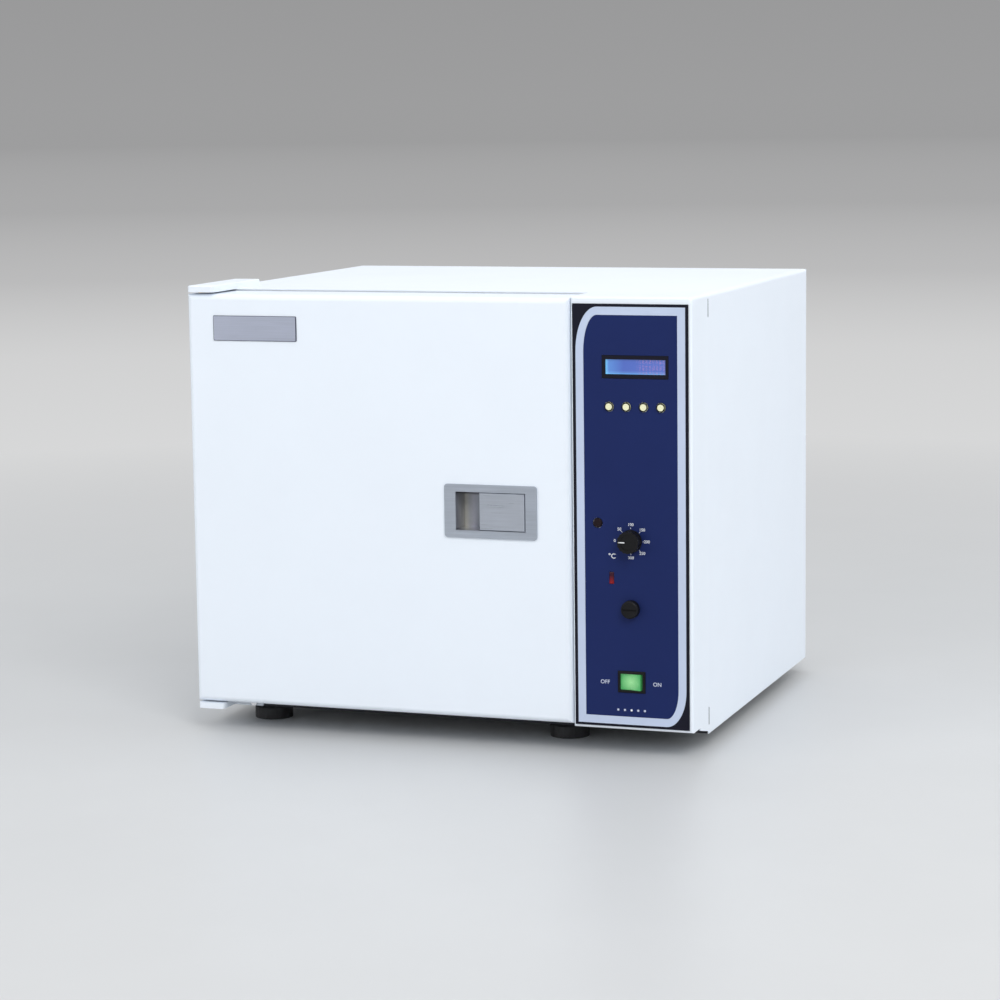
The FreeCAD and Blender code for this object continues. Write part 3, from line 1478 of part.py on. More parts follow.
def make_fuse():
    """The fuse holder with its collar, and the slotted bayonet cap with its stem."""
    collar = s.fuse_collar_reach
    start = panel_y - collar
    end = fascia_back + s.fuse_body_length
    ring = prism("fuse_collar", (dial_x, start, fuse_z), "Y", s.fuse_cap_radius, collar, 24)
    tube = prism("fuse_tube", (dial_x, start, fuse_z), "Y", s.fuse_body_radius, end - start, 8)
    bore_radius = s.fuse_stem_radius + s.fit_gap * 2
    bore_start = (dial_x, start - s.overrun, fuse_z)
    bore = prism("fuse_bore", bore_start, "Y", bore_radius, s.fuse_stem_length + s.overrun * 2, 12)
    node(cut("fuse_bored", fuse("fuse_case", ring, tube), bore), "fuse_holder")
    height = s.fuse_cap_reach - collar - s.fit_gap
    cap_end = start - s.fit_gap
    cap_front = cap_end - height
    disc = prism("fuse_disc", (dial_x, cap_front, fuse_z), "Y", s.fuse_cap_radius, height, 24)
    edge = chamfered("fuse_edges", disc, s.fuse_slot_depth, lambda e: near(e.BoundBox.YMax, cap_front))
    stem = rod("fuse_stem", (dial_x, cap_end, fuse_z), "Y", s.fuse_stem_radius, s.fuse_stem_length)
    half = s.fuse_slot_width / 2
    reach = s.fuse_cap_radius * 0.8
    slot = block(
        "fuse_slot", (dial_x - reach, cap_front - s.overrun, fuse_z - half),
        (dial_x + reach, cap_front + s.fuse_slot_depth, fuse_z + half),
    )
    return node(cut("fuse_top", fuse("fuse_whole", edge, stem), slot), "fuse_cap")


rocker_front = panel_y - s.rocker_bezel_reach
rocker_pivot = rocker_front + s.rocker_depth


def make_rocker():
    """The mains rocker switch: its bezel with the body behind, and the rocker in it."""
    body = new_body("rocker_case")
    wide = s.rocker_bezel_width / 2
    high = s.rocker_bezel_height / 2
    low = (dial_x - wide, rocker_z - high)
    high_corner = (dial_x + wide, rocker_z + high)
    bezel = rectangle(body, "rocker_bezel", "XZ_Plane", low, high_corner, -rocker_front)
    pad(body, bezel, s.rocker_bezel_reach, True)
    bevel = s.rocker_bezel_reach / 2
    chamfer(body, "rocker_bezel_edges", bevel, lambda e: near(e.BoundBox.YMax, rocker_front))
    inner_wide = wide - s.rocker_bezel_reach
    inner_high = high - s.rocker_bezel_reach
    low = (dial_x - inner_wide, rocker_z - inner_high)
    high_corner = (dial_x + inner_wide, rocker_z + inner_high)
    barrel = rectangle(body, "rocker_barrel", "XZ_Plane", low, high_corner, -panel_y)
    pad(body, barrel, s.rocker_body_depth, True)
    open_wide = s.rocker_width / 2 + s.rocker_gap
    open_high = s.rocker_height / 2 + s.fit_gap
    low = (dial_x - open_wide, rocker_z - open_high)
    high_corner = (dial_x + open_wide, rocker_z + open_high)
    well = rectangle(body, "rocker_well", "XZ_Plane", low, high_corner, s.overrun - rocker_front)
    pocket(body, well, s.rocker_body_depth * 0.7 + s.overrun)
    seat = s.rocker_pin_radius + s.hinge_running_gap
    seats = circles(body, "rocker_seats", "XY_Plane", [(dial_x, rocker_pivot)], seat, rocker_z + high)
    pocket(body, seats, high * 2)
    node(body, "rocker_housing")
    body = new_body("rocker_key")
    half = s.rocker_width / 2
    profile = [
        (-half, -s.rocker_depth * 0.7),
        (-half * 0.97, -s.rocker_depth),
        (nil, -s.rocker_depth * 0.8),
        (half * 0.97, -s.rocker_depth),
        (half, -s.rocker_depth * 0.7),
        (half * 0.96, nil),
        (half * 0.5, s.rocker_depth * 0.7),
        (-half * 0.5, s.rocker_depth * 0.7),
        (-half * 0.96, nil),
    ]
    rise = s.rocker_height / 2
    pad(body, outline(body, "rocker_profile", "XY_Plane", profile, -rise), s.rocker_height)
    reach = inner_high - s.rocker_gap * 0.1
    trunnions = circles(body, "rocker_trunnions", "XY_Plane", [(nil, nil)], s.rocker_pin_radius, -reach)
    pad(body, trunnions, reach * 2)
    tilt = Rotation(Vector(0, 0, 1), -float(s.rocker_tilt))
    return node(place(body, dial_x, rocker_pivot, rocker_z, tilt), "rocker")


# Door

door_back = face + s.door_thickness
shell_gap = s.door_sheet + s.fit_gap
case_right = door_right - s.latch_right_inset
case_left = case_right - s.latch_width
case_low = door_low + s.latch_rise
case_high = case_low + s.latch_height
well_left = case_left + s.latch_border_side
well_right = case_right - s.latch_border_side
well_low = case_low + s.latch_border_end
well_high = case_high - s.latch_border_end
cup_back = face + s.latch_cup_depth + s.latch_wall
bolt_half_y = s.bolt_thickness / 2
bolt_half_z = s.bolt_height / 2
bush_radius = s.hinge_pin_radius + s.bush_wall
bush_hole = bush_radius + s.seat_gap
block_reach = shell_gap + s.hinge_block_depth


def make_door_shell():
    """The folded front skin with rounded edges, the latch cut-out and the bolt and hinge holes."""
    body = new_body("door_outer")
    low = (left, door_low)
    high = (door_right, door_high)
    pad(body, rectangle(body, "door_block", "XZ_Plane", low, high, -face), s.door_thickness, True)
    fillet(body, "door_front", s.door_edge_radius, lambda e: near(e.BoundBox.YMax, face))
    body_in = new_body("door_hollow")
    t = s.door_sheet
    low = (left + t, door_low + t)
    high = (door_right - t, door_high - t)
    depth = s.door_thickness - t
    hollow = rectangle(body_in, "door_inside", "XZ_Plane", low, high, -(face + t))
    pad(body_in, hollow, depth + s.overrun, True)
    chamfer(body_in, "door_inner_front", s.door_inner_bevel, lambda e: near(e.BoundBox.YMax, face + t))
    gap = s.fit_gap
    wall = s.latch_wall
    cup = block(
        "door_latch_hole", (well_left - wall - gap, face - s.overrun, well_low - wall - gap),
        (well_right + wall + gap, face + t + s.overrun, well_high + wall + gap),
    )
    bolt_low = (door_right - t - s.overrun, bolt_y - bolt_half_y - gap, latch_z - bolt_half_z - gap)
    bolt_high = (door_right + s.overrun, bolt_y + bolt_half_y + gap, latch_z + bolt_half_z + gap)
    bolt = block("door_bolt_hole", bolt_low, bolt_high)
    start = (hinge_x, hinge_y, door_low - s.overrun)
    pins = prism("door_pin_holes", start, "Z", bush_hole, door_height + s.overrun * 2, 12)
    return node(cut("door", body, body_in, cup, bolt, pins), "door_shell")


plug_left = chamber_left + s.plug_clearance
plug_right = chamber_right - s.plug_clearance
plug_low = chamber_low + s.plug_clearance
plug_high = chamber_high - s.plug_clearance


def make_door_inner():
    """The stainless inner panel: a flat sheet with a hollow plug that enters the chamber."""
    body = new_body("inner_panel_body")
    t = s.door_sheet
    low = (left + shell_gap, door_low + shell_gap)
    high = (door_right - shell_gap, door_high - shell_gap)
    pad(body, rectangle(body, "inner_panel_sheet", "XZ_Plane", low, high, t - door_back), t, True)
    plug = rounded(
        body, "inner_plug", "XZ_Plane", (plug_left, plug_low), (plug_right, plug_high),
        s.plug_corner_radius, -door_back,
    )
    pad(body, plug, s.plug_depth, True)
    plug_back = door_back + s.plug_depth
    chamfer(body, "inner_plug_edges", s.bend_radius / 2, lambda e: near(e.BoundBox.YMin, plug_back))
    hollow = rounded(
        body, "inner_hollow", "XZ_Plane", (plug_left + t, plug_low + t), (plug_right - t, plug_high - t),
        s.plug_corner_radius - t, t - door_back,
    )
    pocket(body, hollow, s.plug_depth)
    return node(body, "door_inner_panel")


def make_door_insulation():
    """The wool in the door, with a step into the plug and clearances for latch and hinges."""
    gap = s.fit_gap
    front = face + s.door_sheet + s.insulation_gap
    back = door_back - s.door_sheet - gap
    side = shell_gap + s.insulation_gap
    slab = block(
        "door_wool_slab", (left + side, front, door_low + side), (door_right - side, back, door_high - side)
    )
    step = s.door_sheet + s.bend_radius
    core = block(
        "door_wool_core", (plug_left + step, back - s.overrun, plug_low + step),
        (plug_right - step, door_back + s.plug_depth - s.door_sheet - gap, plug_high - step),
    )
    wall = s.latch_wall + gap
    cup = block(
        "door_wool_latch", (well_left - wall, front - s.overrun, well_low - wall),
        (door_right, cup_back + gap, well_high + wall),
    )
    guide = wall + gap
    bolt = block(
        "door_wool_bolt", (well_right, front - s.overrun, latch_z - bolt_half_z - guide),
        (door_right, bolt_y + bolt_half_y + guide, latch_z + bolt_half_z + guide),
    )
    tools = [cup, bolt]
    reach = shell_gap + s.hinge_block_size + gap
    for name, low_z in (("low", door_low), ("high", door_high - block_reach - gap)):
        tools.append(block(
            "door_wool_" + name, (left, face, low_z), (left + reach, door_back, low_z + block_reach + gap)
        ))
    return node(cut("door_wool", fuse("door_wool_whole", slab, core), *tools), "door_insulation")


def make_gasket():
    """The heat-proof door seal: a flat ring round the chamber's flange."""
    body = new_body("gasket_body")
    reach = s.sheet + s.chamber_flange + s.gasket_clearance
    low = (chamber_left - reach, chamber_low - reach)
    high = (chamber_right + reach, chamber_high + reach)
    w = s.gasket_width
    outer = rounded(
        body, "gasket_outer", "XZ_Plane", (low[0] - w, low[1] - w), (high[0] + w, high[1] + w),
        s.gasket_corner_radius + w, -door_back,
    )
    pad(body, outer, s.door_back_gap - s.fit_gap, True)
    inner = rounded(body, "gasket_inner", "XZ_Plane", low, high, s.gasket_corner_radius, -door_back)
    pocket(body, inner, s.door_back_gap, False)
    return node(body, "door_gasket")


# Hinges

arm_front = face - s.hinge_arm_nose
arm_high = top + s.hinge_arm_height
pin_hole = s.hinge_pin_radius + s.seat_gap
arm_back = arm_front + s.hinge_arm_length
arm_screw_places = [
    (bracket_left + s.hinge_arm_width / 2, seam + (arm_back - seam) * share) for share in (0.25, 0.75)
]


def make_hinge_arm():
    """The bar on the cover top that reaches forward over the door and holds the upper pin."""
    body = new_body("arm_body")
    low = (bracket_left, arm_front)
    high = (bracket_left + s.hinge_arm_width, arm_back)
    pad(body, rectangle(body, "arm_block", "XY_Plane", low, high, top), s.hinge_arm_height)
    chamfer(body, "arm_corners", s.hinge_arm_radius / 2, lambda e: runs_along(e, "Z"))
    chamfer(body, "arm_edges", s.hinge_arm_bevel, lambda e: near(e.BoundBox.ZMin, arm_high))
    solid = s.hinge_arm_height - s.hinge_arm_floor
    hole = circles(body, "arm_pin_hole", "XY_Plane", [(hinge_x, hinge_y)], pin_hole, top)
    pocket(body, hole, solid, True)
    screws = facets(body, "arm_screw_holes", "XY_Plane", arm_screw_places, screw_hole, top)
    pocket(body, screws, solid, True)
    return node(body, "hinge_arm")


def make_hinge_bracket():
    """The lower bracket: a bar under the door's corner with an upright tab on the frame."""
    bar = block(
        "bracket_bar", (bracket_left, arm_front, bracket_low),
        (bracket_left + s.hinge_arm_width, seam, bracket_high),
    )
    rounds = round_edges(
        "bracket_round", bar, s.hinge_arm_radius,
        lambda e: runs_along(e, "Z") and near(e.BoundBox.YMin, arm_front),
    )
    tab_front = seam - s.bracket_tab_thickness
    tab = block(
        "bracket_tab", (bracket_left, tab_front, tab_low),
        (bracket_left + s.bracket_tab_width, seam, bracket_high),
    )
    start = (hinge_x, hinge_y, bracket_low - s.overrun)
    tools = [rod("bracket_pin_hole", start, "Z", pin_hole, s.bracket_height + s.overrun * 2)]
    reach = s.bracket_tab_thickness + s.overrun * 2
    for i, (x, z) in enumerate(bracket_screw_places):
        start = (x, tab_front - s.overrun, z)
        tools.append(prism("bracket_screw_hole_%d" % i, start, "Y", screw_hole, reach, 6))
    return node(cut("bracket", fuse("bracket_whole", rounds, tab), *tools), "hinge_bracket")


def make_hinge_pins():
    """The upper and lower hinge pins."""
    upper_low = door_high - s.hinge_pin_reach
    upper = rod("upper_pin", (hinge_x, hinge_y, upper_low), "Z", s.hinge_pin_radius,
                arm_high - s.hinge_arm_floor - upper_low)
    lower = rod("lower_pin", (hinge_x, hinge_y, bracket_low), "Z", s.hinge_pin_radius,
                door_low + s.hinge_pin_reach - bracket_low)
    return node(group("pin_set", [upper, lower]), "hinge_pins")


def make_hinge_blocks():
    """Two steel blocks inside the door that take the bushes."""
    size = s.hinge_block_size
    x = left + shell_gap
    y = hinge_y - size / 2
    parts = []
    for name, z in (("low", door_low + shell_gap), ("high", door_high - block_reach)):
        solid = block(name + "_hinge_block", (x, y, z), (x + size, y + size, z + s.hinge_block_depth))
        start = (hinge_x, hinge_y, z - s.overrun)
        bore = prism(name + "_block_bore", start, "Z", bush_hole, s.hinge_block_depth + s.overrun * 2, 12)
        parts.append(cut(name + "_bored_block", solid, bore))
    return node(group("block_set", parts), "hinge_blocks")


def make_bushes():
    """Two flanged bearing bushes; each flange is the washer under or over the door."""
    parts = []
    low_end = door_low - s.bush_flange
    for name, flange_z, body_z in (
        ("low", low_end, door_low),
        ("high", door_high, door_high - block_reach),
    ):
        start = (hinge_x, hinge_y, flange_z)
        flange = prism(name + "_bush_flange", start, "Z", s.bush_flange_radius, s.bush_flange, 16)
        tube = prism(name + "_bush_tube", (hinge_x, hinge_y, body_z), "Z", bush_radius, block_reach, 12)
        start = (hinge_x, hinge_y, body_z - s.bush_flange - s.overrun)
        radius = s.hinge_pin_radius + s.hinge_running_gap
        bore = rod(name + "_bush_bore", start, "Z", radius, block_reach + (s.bush_flange + s.overrun) * 2)
        parts.append(cut(name + "_bush", fuse(name + "_bush_whole", flange, tube), bore))
    return node(group("bush_set", parts), "door_bushes")


# Paddle latch

knuckle = s.paddle_knuckle_radius
paddle_front = face - s.latch_flange + s.paddle_recess
paddle_right = well_right - s.paddle_gap * 2
paddle_left = paddle_right - s.paddle_length
paddle_low = well_low + s.paddle_gap
paddle_high = well_high - s.paddle_gap
notch_low = latch_z + s.spring_rise
pin_clear = s.paddle_pin_radius + s.hinge_running_gap


def make_latch_case():
    """The flush latch cup with its flange, pin holes and bolt guide."""
    body = new_body("case_body")
    front = face - s.latch_flange
    flange = rounded(
        body, "case_flange", "XZ_Plane", (case_left, case_low), (case_right, case_high),
        s.latch_corner_radius, -front,
    )
    pad(body, flange, s.latch_flange, True)
    wall = s.latch_wall
    low = (well_left - wall, well_low - wall)
    high = (well_right + wall, well_high + wall)
    pad(body, rectangle(body, "case_cup", "XZ_Plane", low, high, -face), s.latch_cup_depth + wall, True)
    bore_y = bolt_half_y + s.bolt_guide_gap
    bore_z = bolt_half_z + s.bolt_guide_gap
    guide_low = (bolt_y - bore_y - wall, latch_z - bore_z - wall)
    guide_high = (bolt_y + bore_y + wall, latch_z + bore_z + wall)
    guide = rectangle(body, "case_guide", "YZ_Plane", guide_low, guide_high, well_right)
    pad(body, guide, door_right - s.door_sheet - s.fit_gap - well_right)
    well = rectangle(
        body, "case_well", "XZ_Plane", (well_left, well_low), (well_right, well_high), s.overrun - front
    )
    pocket(body, well, s.latch_cup_depth + s.latch_flange + s.overrun)
    bore_low = (bolt_y - bore_y, latch_z - bore_z)
    bore_high = (bolt_y + bore_y, latch_z + bore_z)
    bore = rectangle(body, "case_bore", "YZ_Plane", bore_low, bore_high, door_right)
    pocket(body, bore, door_right - well_right + s.overrun)
    seat = (s.paddle_pin_radius + s.seat_gap) * 1.0824
    hole = facets(body, "case_pin_hole", "XY_Plane", [(pivot_x, pivot_y)], seat, well_high + wall, 8)
    pocket(body, hole, well_high - well_low + wall * 2)
    return node(body, "latch_case")


def make_paddle():
    """The pull paddle: plate, finger lip, knuckle round the pin and the arm that draws the bolt."""
    back = paddle_front + s.paddle_sheet
    height = paddle_high - paddle_low
    low = (paddle_left, paddle_front, paddle_low)
    plate = block("paddle_plate", low, (paddle_right, back, paddle_high))
    lip_high = (paddle_left + s.paddle_sheet, paddle_front + s.paddle_lip, paddle_high)
    lip = block("paddle_lip", low, lip_high)
    tube = prism("paddle_knuckle", (pivot_x, pivot_y, paddle_low), "Z", knuckle, height, 8)
    half = s.paddle_arm_height / 2
    arm = block(
        "paddle_arm", (pivot_x - s.paddle_arm_width / 2, pivot_y, latch_z - half),
        (pivot_x + s.paddle_arm_width / 2, bolt_y, latch_z + half),
    )
    start = (pivot_x, bolt_y, latch_z - half)
    head = prism("paddle_arm_head", start, "Z", s.paddle_arm_head_radius, s.paddle_arm_height, 8)
    whole = fuse("paddle_whole", plate, lip, tube, arm, head)
    start = (pivot_x, pivot_y, paddle_low - s.overrun)
    pin = rod("paddle_bore", start, "Z", pin_clear, height + s.overrun * 2)
    start = (pivot_x, pivot_y, notch_low)
    groove = prism("paddle_groove", start, "Z", s.spring_notch_radius, s.spring_notch_height, 8)
    gap = block(
        "paddle_notch", (pivot_x - knuckle - s.overrun, back, notch_low),
        (pivot_x + knuckle + s.overrun, pivot_y + knuckle + s.overrun, notch_low + s.spring_notch_height),
    )
    shaped = cut("paddle_cut", whole, pin, groove, gap)
    bevel = s.paddle_recess
    edges = chamfered("paddle_edges", shaped, bevel, lambda e: near(e.BoundBox.YMax, paddle_front))
    return node(edges, "paddle")


def make_paddle_pin():
    """The paddle's pin, held in the cup's top and bottom walls."""
    start = well_low - s.latch_wall
    return node(rod("paddle_pin_rod", (pivot_x, pivot_y, start), "Z", s.paddle_pin_radius,
                    well_high + s.latch_wall - start), "paddle_pin")


def make_paddle_spring():
    """The torsion spring on the paddle pin: bars laid up round a six-sided coil, and two legs."""
    wire = s.spring_wire_radius * 2
    inner = s.spring_coil_radius - s.spring_wire_radius
    steps = 18
    rise = s.spring_pitch / 6
    z = notch_low + (s.spring_notch_height - rise * steps - wire) / 2
    half_side = (inner + wire / 2) * 0.57735
    parts = []
    for i in range(steps):
        bar = doc.addObject("Part::Box", "spring_bar_%d" % i)
        bind(bar, "Length", wire)
        bind(bar, "Width", half_side * 2)
        bind(bar, "Height", wire)
        angle = math.radians(60 * i + 90)
        across = round(math.cos(angle), 6)
        along = round(math.sin(angle), 6)
        x = pivot_x + inner * across + half_side * along
        y = pivot_y + inner * along - half_side * across
        turn = Rotation(Vector(0, 0, 1), 60 * i + 90)
        parts.append(place(bar, x, y, z + rise * i, turn))
    near_y = pivot_y + inner
    far_y = near_y + wire
    lower_high = (pivot_x + s.spring_leg / 2, far_y, z + wire)
    parts.append(block("spring_lower_leg", (pivot_x, near_y, z), lower_high))
    high = z + rise * steps
    upper_low = (pivot_x - s.spring_leg, near_y, high)
    parts.append(block("spring_upper_leg", upper_low, (pivot_x + half_side, far_y, high + wire)))
    return node(fuse("spring", *parts), "paddle_spring")


bolt_nose = fascia_left - s.bolt_rest_gap
fork_half = s.paddle_arm_head_radius + s.bolt_fork_gap
bolt_tail = pivot_x - fork_half - s.bolt_fork_wall


def make_bolt():
    """The sliding bolt with a fork slot for the paddle's arm and a bevelled nose."""
    body = new_body("bolt_body")
    front = bolt_y - bolt_half_y
    back = bolt_y + bolt_half_y
    profile = [
        (bolt_tail, front),
        (bolt_nose, front),
        (bolt_nose, back - s.bolt_nose_bevel),
        (bolt_nose - s.bolt_nose_bevel, back),
        (bolt_tail, back),
    ]
    pad(body, outline(body, "bolt_profile", "XY_Plane", profile, latch_z - bolt_half_z), s.bolt_height)
    half = s.paddle_arm_height / 2 + s.bolt_fork_gap
    low = (pivot_x - fork_half, latch_z - half)
    high = (pivot_x + fork_half, latch_z + half)
    slot = rectangle(body, "bolt_fork", "XZ_Plane", low, high, s.overrun - front)
    pocket(body, slot, s.bolt_thickness + s.overrun * 2)
    return node(body, "latch_bolt")


def make_strike():
    """The strike plate inside the control column's left wall."""
    body = new_body("strike_body")
    start = fascia_left + s.frame_sheet
    half_y = s.strike_width / 2
    half_z = s.strike_height / 2
    low = (bolt_y - half_y, latch_z - half_z)
    high = (bolt_y + half_y, latch_z + half_z)
    pad(body, rectangle(body, "strike_outer", "YZ_Plane", low, high, start), s.strike_sheet)
    hole_y = bolt_half_y + s.fit_gap
    hole_z = bolt_half_z + s.fit_gap
    low = (bolt_y - hole_y, latch_z - hole_z)
    high = (bolt_y + hole_y, latch_z + hole_z)
    hole = rectangle(body, "strike_hole", "YZ_Plane", low, high, start + s.strike_sheet)
    pocket(body, hole, s.strike_sheet + s.overrun)
    return node(body, "strike_plate")


# Electrics

board_x = divider_left + s.frame_sheet
board_face = board_x + s.standoff_length + s.board_thickness


def make_main_board():
    """The control board on four posts, with its relay, capacitors and connector."""
    y = seam + s.main_board_front_inset
    z = base + s.main_board_rise
    wide = s.main_board_depth
    tall = s.main_board_height
    parts = [block(
        "board", (board_x + s.standoff_length, y, z), (board_face, y + wide, z + tall)
    )]
    inset = s.display_board_margin
    corners = [(across, up) for across in (inset, wide - inset) for up in (inset, tall - inset)]
    for i, (across, up) in enumerate(corners):
        start = (board_x, y + across, z + up)
        parts.append(prism("board_post_%d" % i, start, "X", s.standoff_radius, s.standoff_length, 6))
    shares = [
        ("relay", 0.12, 0.1, 0.2, 0.16, 1.6),
        ("driver", 0.12, 0.34, 0.28, 0.1, 0.5),
        ("chip", 0.55, 0.5, 0.2, 0.2, 0.3),
        ("connector", 0.1, 0.86, 0.7, 0.06, 0.9),
        ("terminals", 0.6, 0.04, 0.3, 0.08, 1.0),
    ]
    for name, share_y, share_z, share_w, share_h, share_x in shares:
        low = (board_face, y + wide * share_y, z + tall * share_z)
        high = (board_face + s.standoff_length * share_x, low[1] + wide * share_w, low[2] + tall * share_h)
        parts.append(block("board_" + name, low, high))
    for i in range(3):
        start = (board_face, y + wide * (0.6 + 0.12 * i), z + tall * 0.32)
        radius = s.standoff_length * 0.6
        parts.append(prism("board_capacitor_%d" % i, start, "X", radius, radius * 3, 12))
    return node(fuse("board_set", *parts), "main_board")


def make_transformer():
    """The small mains transformer: an iron core round a wound bobbin."""
    x = (divider_left + right) / 2 - s.transformer_width / 2
    y = seam + s.transformer_front_inset
    z = floor_top
    w = s.transformer_width
    d = s.transformer_depth
    h = s.transformer_height
    core = block("core", (x, y + d * 0.3, z), (x + w, y + d * 0.7, z + h))
    coil = block("winding", (x + w * 0.22, y, z + h * 0.2), (x + w * 0.78, y + d, z + h * 0.8))
    low = (x - w * 0.15, y + d * 0.2, z)
    plate = block("transformer_foot", low, (x + w * 1.15, y + d * 0.8, z + s.sheet))
    return node(fuse("transformer_set", core, coil, plate), "transformer")


def make_terminal_block():
    """The mains terminal block with a row of screw wells."""
    x = divider_left + s.frame_sheet + s.base_flange + s.terminal_width / 2
    y = seam + s.terminal_front_inset
    z = floor_top
    high = (x + s.terminal_width, y + s.terminal_depth, z + s.terminal_height)
    low = block("terminal_base", (x, y, z), high)
    tools = []
    count = 5
    pitch = s.terminal_depth / count
    for i in range(count):
        for side, share in (("a", 0.25), ("b", 0.75)):
            start = (x + s.terminal_width * share, y + pitch * (i + 0.5), z + s.terminal_height * 0.6)
            name = "terminal_well_%s%d" % (side, i)
            tools.append(prism(name, start, "Z", pitch * 0.28, s.terminal_height, 4))
    return node(cut("terminal", low, *tools), "terminal_block")


def make_inlet():
    """The mains inlet: a flanged box with a recess and three flat pins."""
    half_w = s.inlet_width / 2
    half_h = s.inlet_height / 2
    edge = s.inlet_flange
    front = rear + s.inlet_flange
    low = (inlet_x - half_w, rear, inlet_z - half_h)
    flange = block("inlet_flange", low, (inlet_x + half_w, front, inlet_z + half_h))
    gap = s.fit_gap
    box = block(
        "inlet_box", (inlet_x - half_w + edge + gap, front - s.inlet_depth, inlet_z - half_h + edge + gap),
        (inlet_x + half_w - edge - gap, front, inlet_z + half_h - edge - gap),
    )
    rw = s.inlet_recess_width / 2
    rh = s.inlet_recess_height / 2
    recess_y = front - s.inlet_recess_depth
    recess = block(
        "inlet_recess", (inlet_x - rw + edge / 2, recess_y, inlet_z - rh + edge / 2),
        (inlet_x + rw - edge / 2, front + s.overrun, inlet_z + rh - edge / 2),
    )
    shell = cut("inlet_shell", fuse("inlet_whole", flange, box), recess)
    pins = []
    for i, (dx, dz) in enumerate(((-1, -0.3), (0, 0.3), (1, -0.3))):
        x = inlet_x + s.inlet_pin_pitch * dx
        z = inlet_z + s.inlet_pin_pitch * dz
        low = (x - s.inlet_pin_width / 2, recess_y - s.overrun, z - s.inlet_pin_height / 2)
        high = (x + s.inlet_pin_width / 2, recess_y + s.inlet_pin_length, z + s.inlet_pin_height / 2)
        pins.append(block("inlet_pin_%d" % i, low, high))
    return node(fuse("inlet", shell, *pins), "power_inlet")


def make_screws():
    """All screws of the cabinet: rear panel, feet, hinge arm and lower bracket."""
    items = []
    for x, z in rear_screw_places:
        items.append(screw("screw_%d" % len(items), x, rear, z, HEAD_BACK))
    for x, y in foot_places:
        items.append(foot_screw("screw_%d" % len(items), x, y))
    for x, y in arm_screw_places:
        items.append(screw("screw_%d" % len(items), x, y, top - s.sheet, HEAD_DOWN))
    for x, z in bracket_screw_places:
        items.append(screw("screw_%d" % len(items), x, seam - s.bracket_tab_thickness, z, HEAD_FRONT))
    return node(group("screw_set", items), "screws")


def foot_screw(name, x, y):
    """A longer screw from inside a foot's bore up through the base pan."""
    body = new_body(name)
    floor = s.foot_bore_floor
    head = facets(body, name + "_head", "XY_Plane", [(nil, nil)], s.screw_head_radius, floor)
    pad(body, head, s.screw_head_height, True)
    shank = facets(body, name + "_shank", "XY_Plane", [(nil, nil)], s.screw_radius, floor)
    pad(body, shank, floor_top + s.screw_length * 0.5 - floor)
    return place(body, x, y, nil)


# Build, check and write

LEFT_RACK = Rotation()
RIGHT_RACK = Rotation(Vector(0, 0, 1), 180)

make_outer_cover()
make_base_pan()
make_back_panel()
make_front_frame()
make_chamber()
make_insulation()
make_divider()
make_feet()
make_rear_spacers()
make_vent_pipe()
make_rack("shelf_rack_left", chamber_left + s.fit_gap, LEFT_RACK)
make_rack("shelf_rack_right", chamber_right - s.fit_gap, RIGHT_RACK)
make_shelf("shelf_lower", 0.2)
make_shelf("shelf_upper", 0.8)
make_heater_guard()
make_heater()
make_temperature_probe()
make_capillary()
make_hinge_arm()
make_hinge_bracket()
make_hinge_pins()
make_screws()
make_control_housing()
make_control_panel()
make_panel_trim()
make_panel_overlay()
make_display()
make_menu_buttons()
make_keypad_board()
make_reset()
make_knob()
make_shaft()
make_thermostat()
make_lamp()
make_fuse()
make_rocker()
make_strike()
make_main_board()
make_transformer()
make_terminal_block()
make_inlet()
make_door_shell()
make_door_inner()
make_door_insulation()
make_gasket()
make_hinge_blocks()
make_bushes()
make_latch_case()
make_paddle()
make_paddle_pin()
make_paddle_spring()
make_bolt()

doc.recompute()
for item in doc.Objects:
    if "Invalid" in item.State or "Error" in item.State:
        raise RuntimeError("%s did not recompute" % item.Name)
for item in nodes:
    if item.Shape.isNull() or not item.Shape.isValid():
        raise RuntimeError("%s has no valid shape" % item.Label)
for item in nodes:
    item.Shape.exportStep("parts/%s.step" % item.Label)
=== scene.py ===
import json
import math

import bmesh
import bpy
from mathutils import Matrix, Vector


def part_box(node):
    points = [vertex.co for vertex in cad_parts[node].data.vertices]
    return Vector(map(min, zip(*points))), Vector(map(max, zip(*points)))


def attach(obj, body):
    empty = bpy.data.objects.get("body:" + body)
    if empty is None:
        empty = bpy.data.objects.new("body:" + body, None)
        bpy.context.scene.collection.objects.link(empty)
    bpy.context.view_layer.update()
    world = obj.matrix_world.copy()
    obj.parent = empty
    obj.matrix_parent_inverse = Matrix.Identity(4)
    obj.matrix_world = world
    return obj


# Looks of the dry heat sterilizer: materials, print and other thin trim, camera and light.
# All lengths are metres in the row's frame: x to the right, y to the back, z up.

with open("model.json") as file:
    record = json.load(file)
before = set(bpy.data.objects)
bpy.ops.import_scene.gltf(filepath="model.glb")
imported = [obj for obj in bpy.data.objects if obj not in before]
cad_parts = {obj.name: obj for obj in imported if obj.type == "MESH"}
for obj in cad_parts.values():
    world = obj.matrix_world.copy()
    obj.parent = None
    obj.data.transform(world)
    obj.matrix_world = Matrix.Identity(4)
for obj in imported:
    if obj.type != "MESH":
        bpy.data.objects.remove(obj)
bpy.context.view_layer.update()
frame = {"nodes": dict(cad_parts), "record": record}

FACE = -0.247  # y of the door's front
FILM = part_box("panel_overlay")[0][1]  # y of the front of the panel's film
DIAL = (0.2147, 0.2265)  # x and z of the knob's axis
INK = 0.00006  # thickness of print


# Nodes

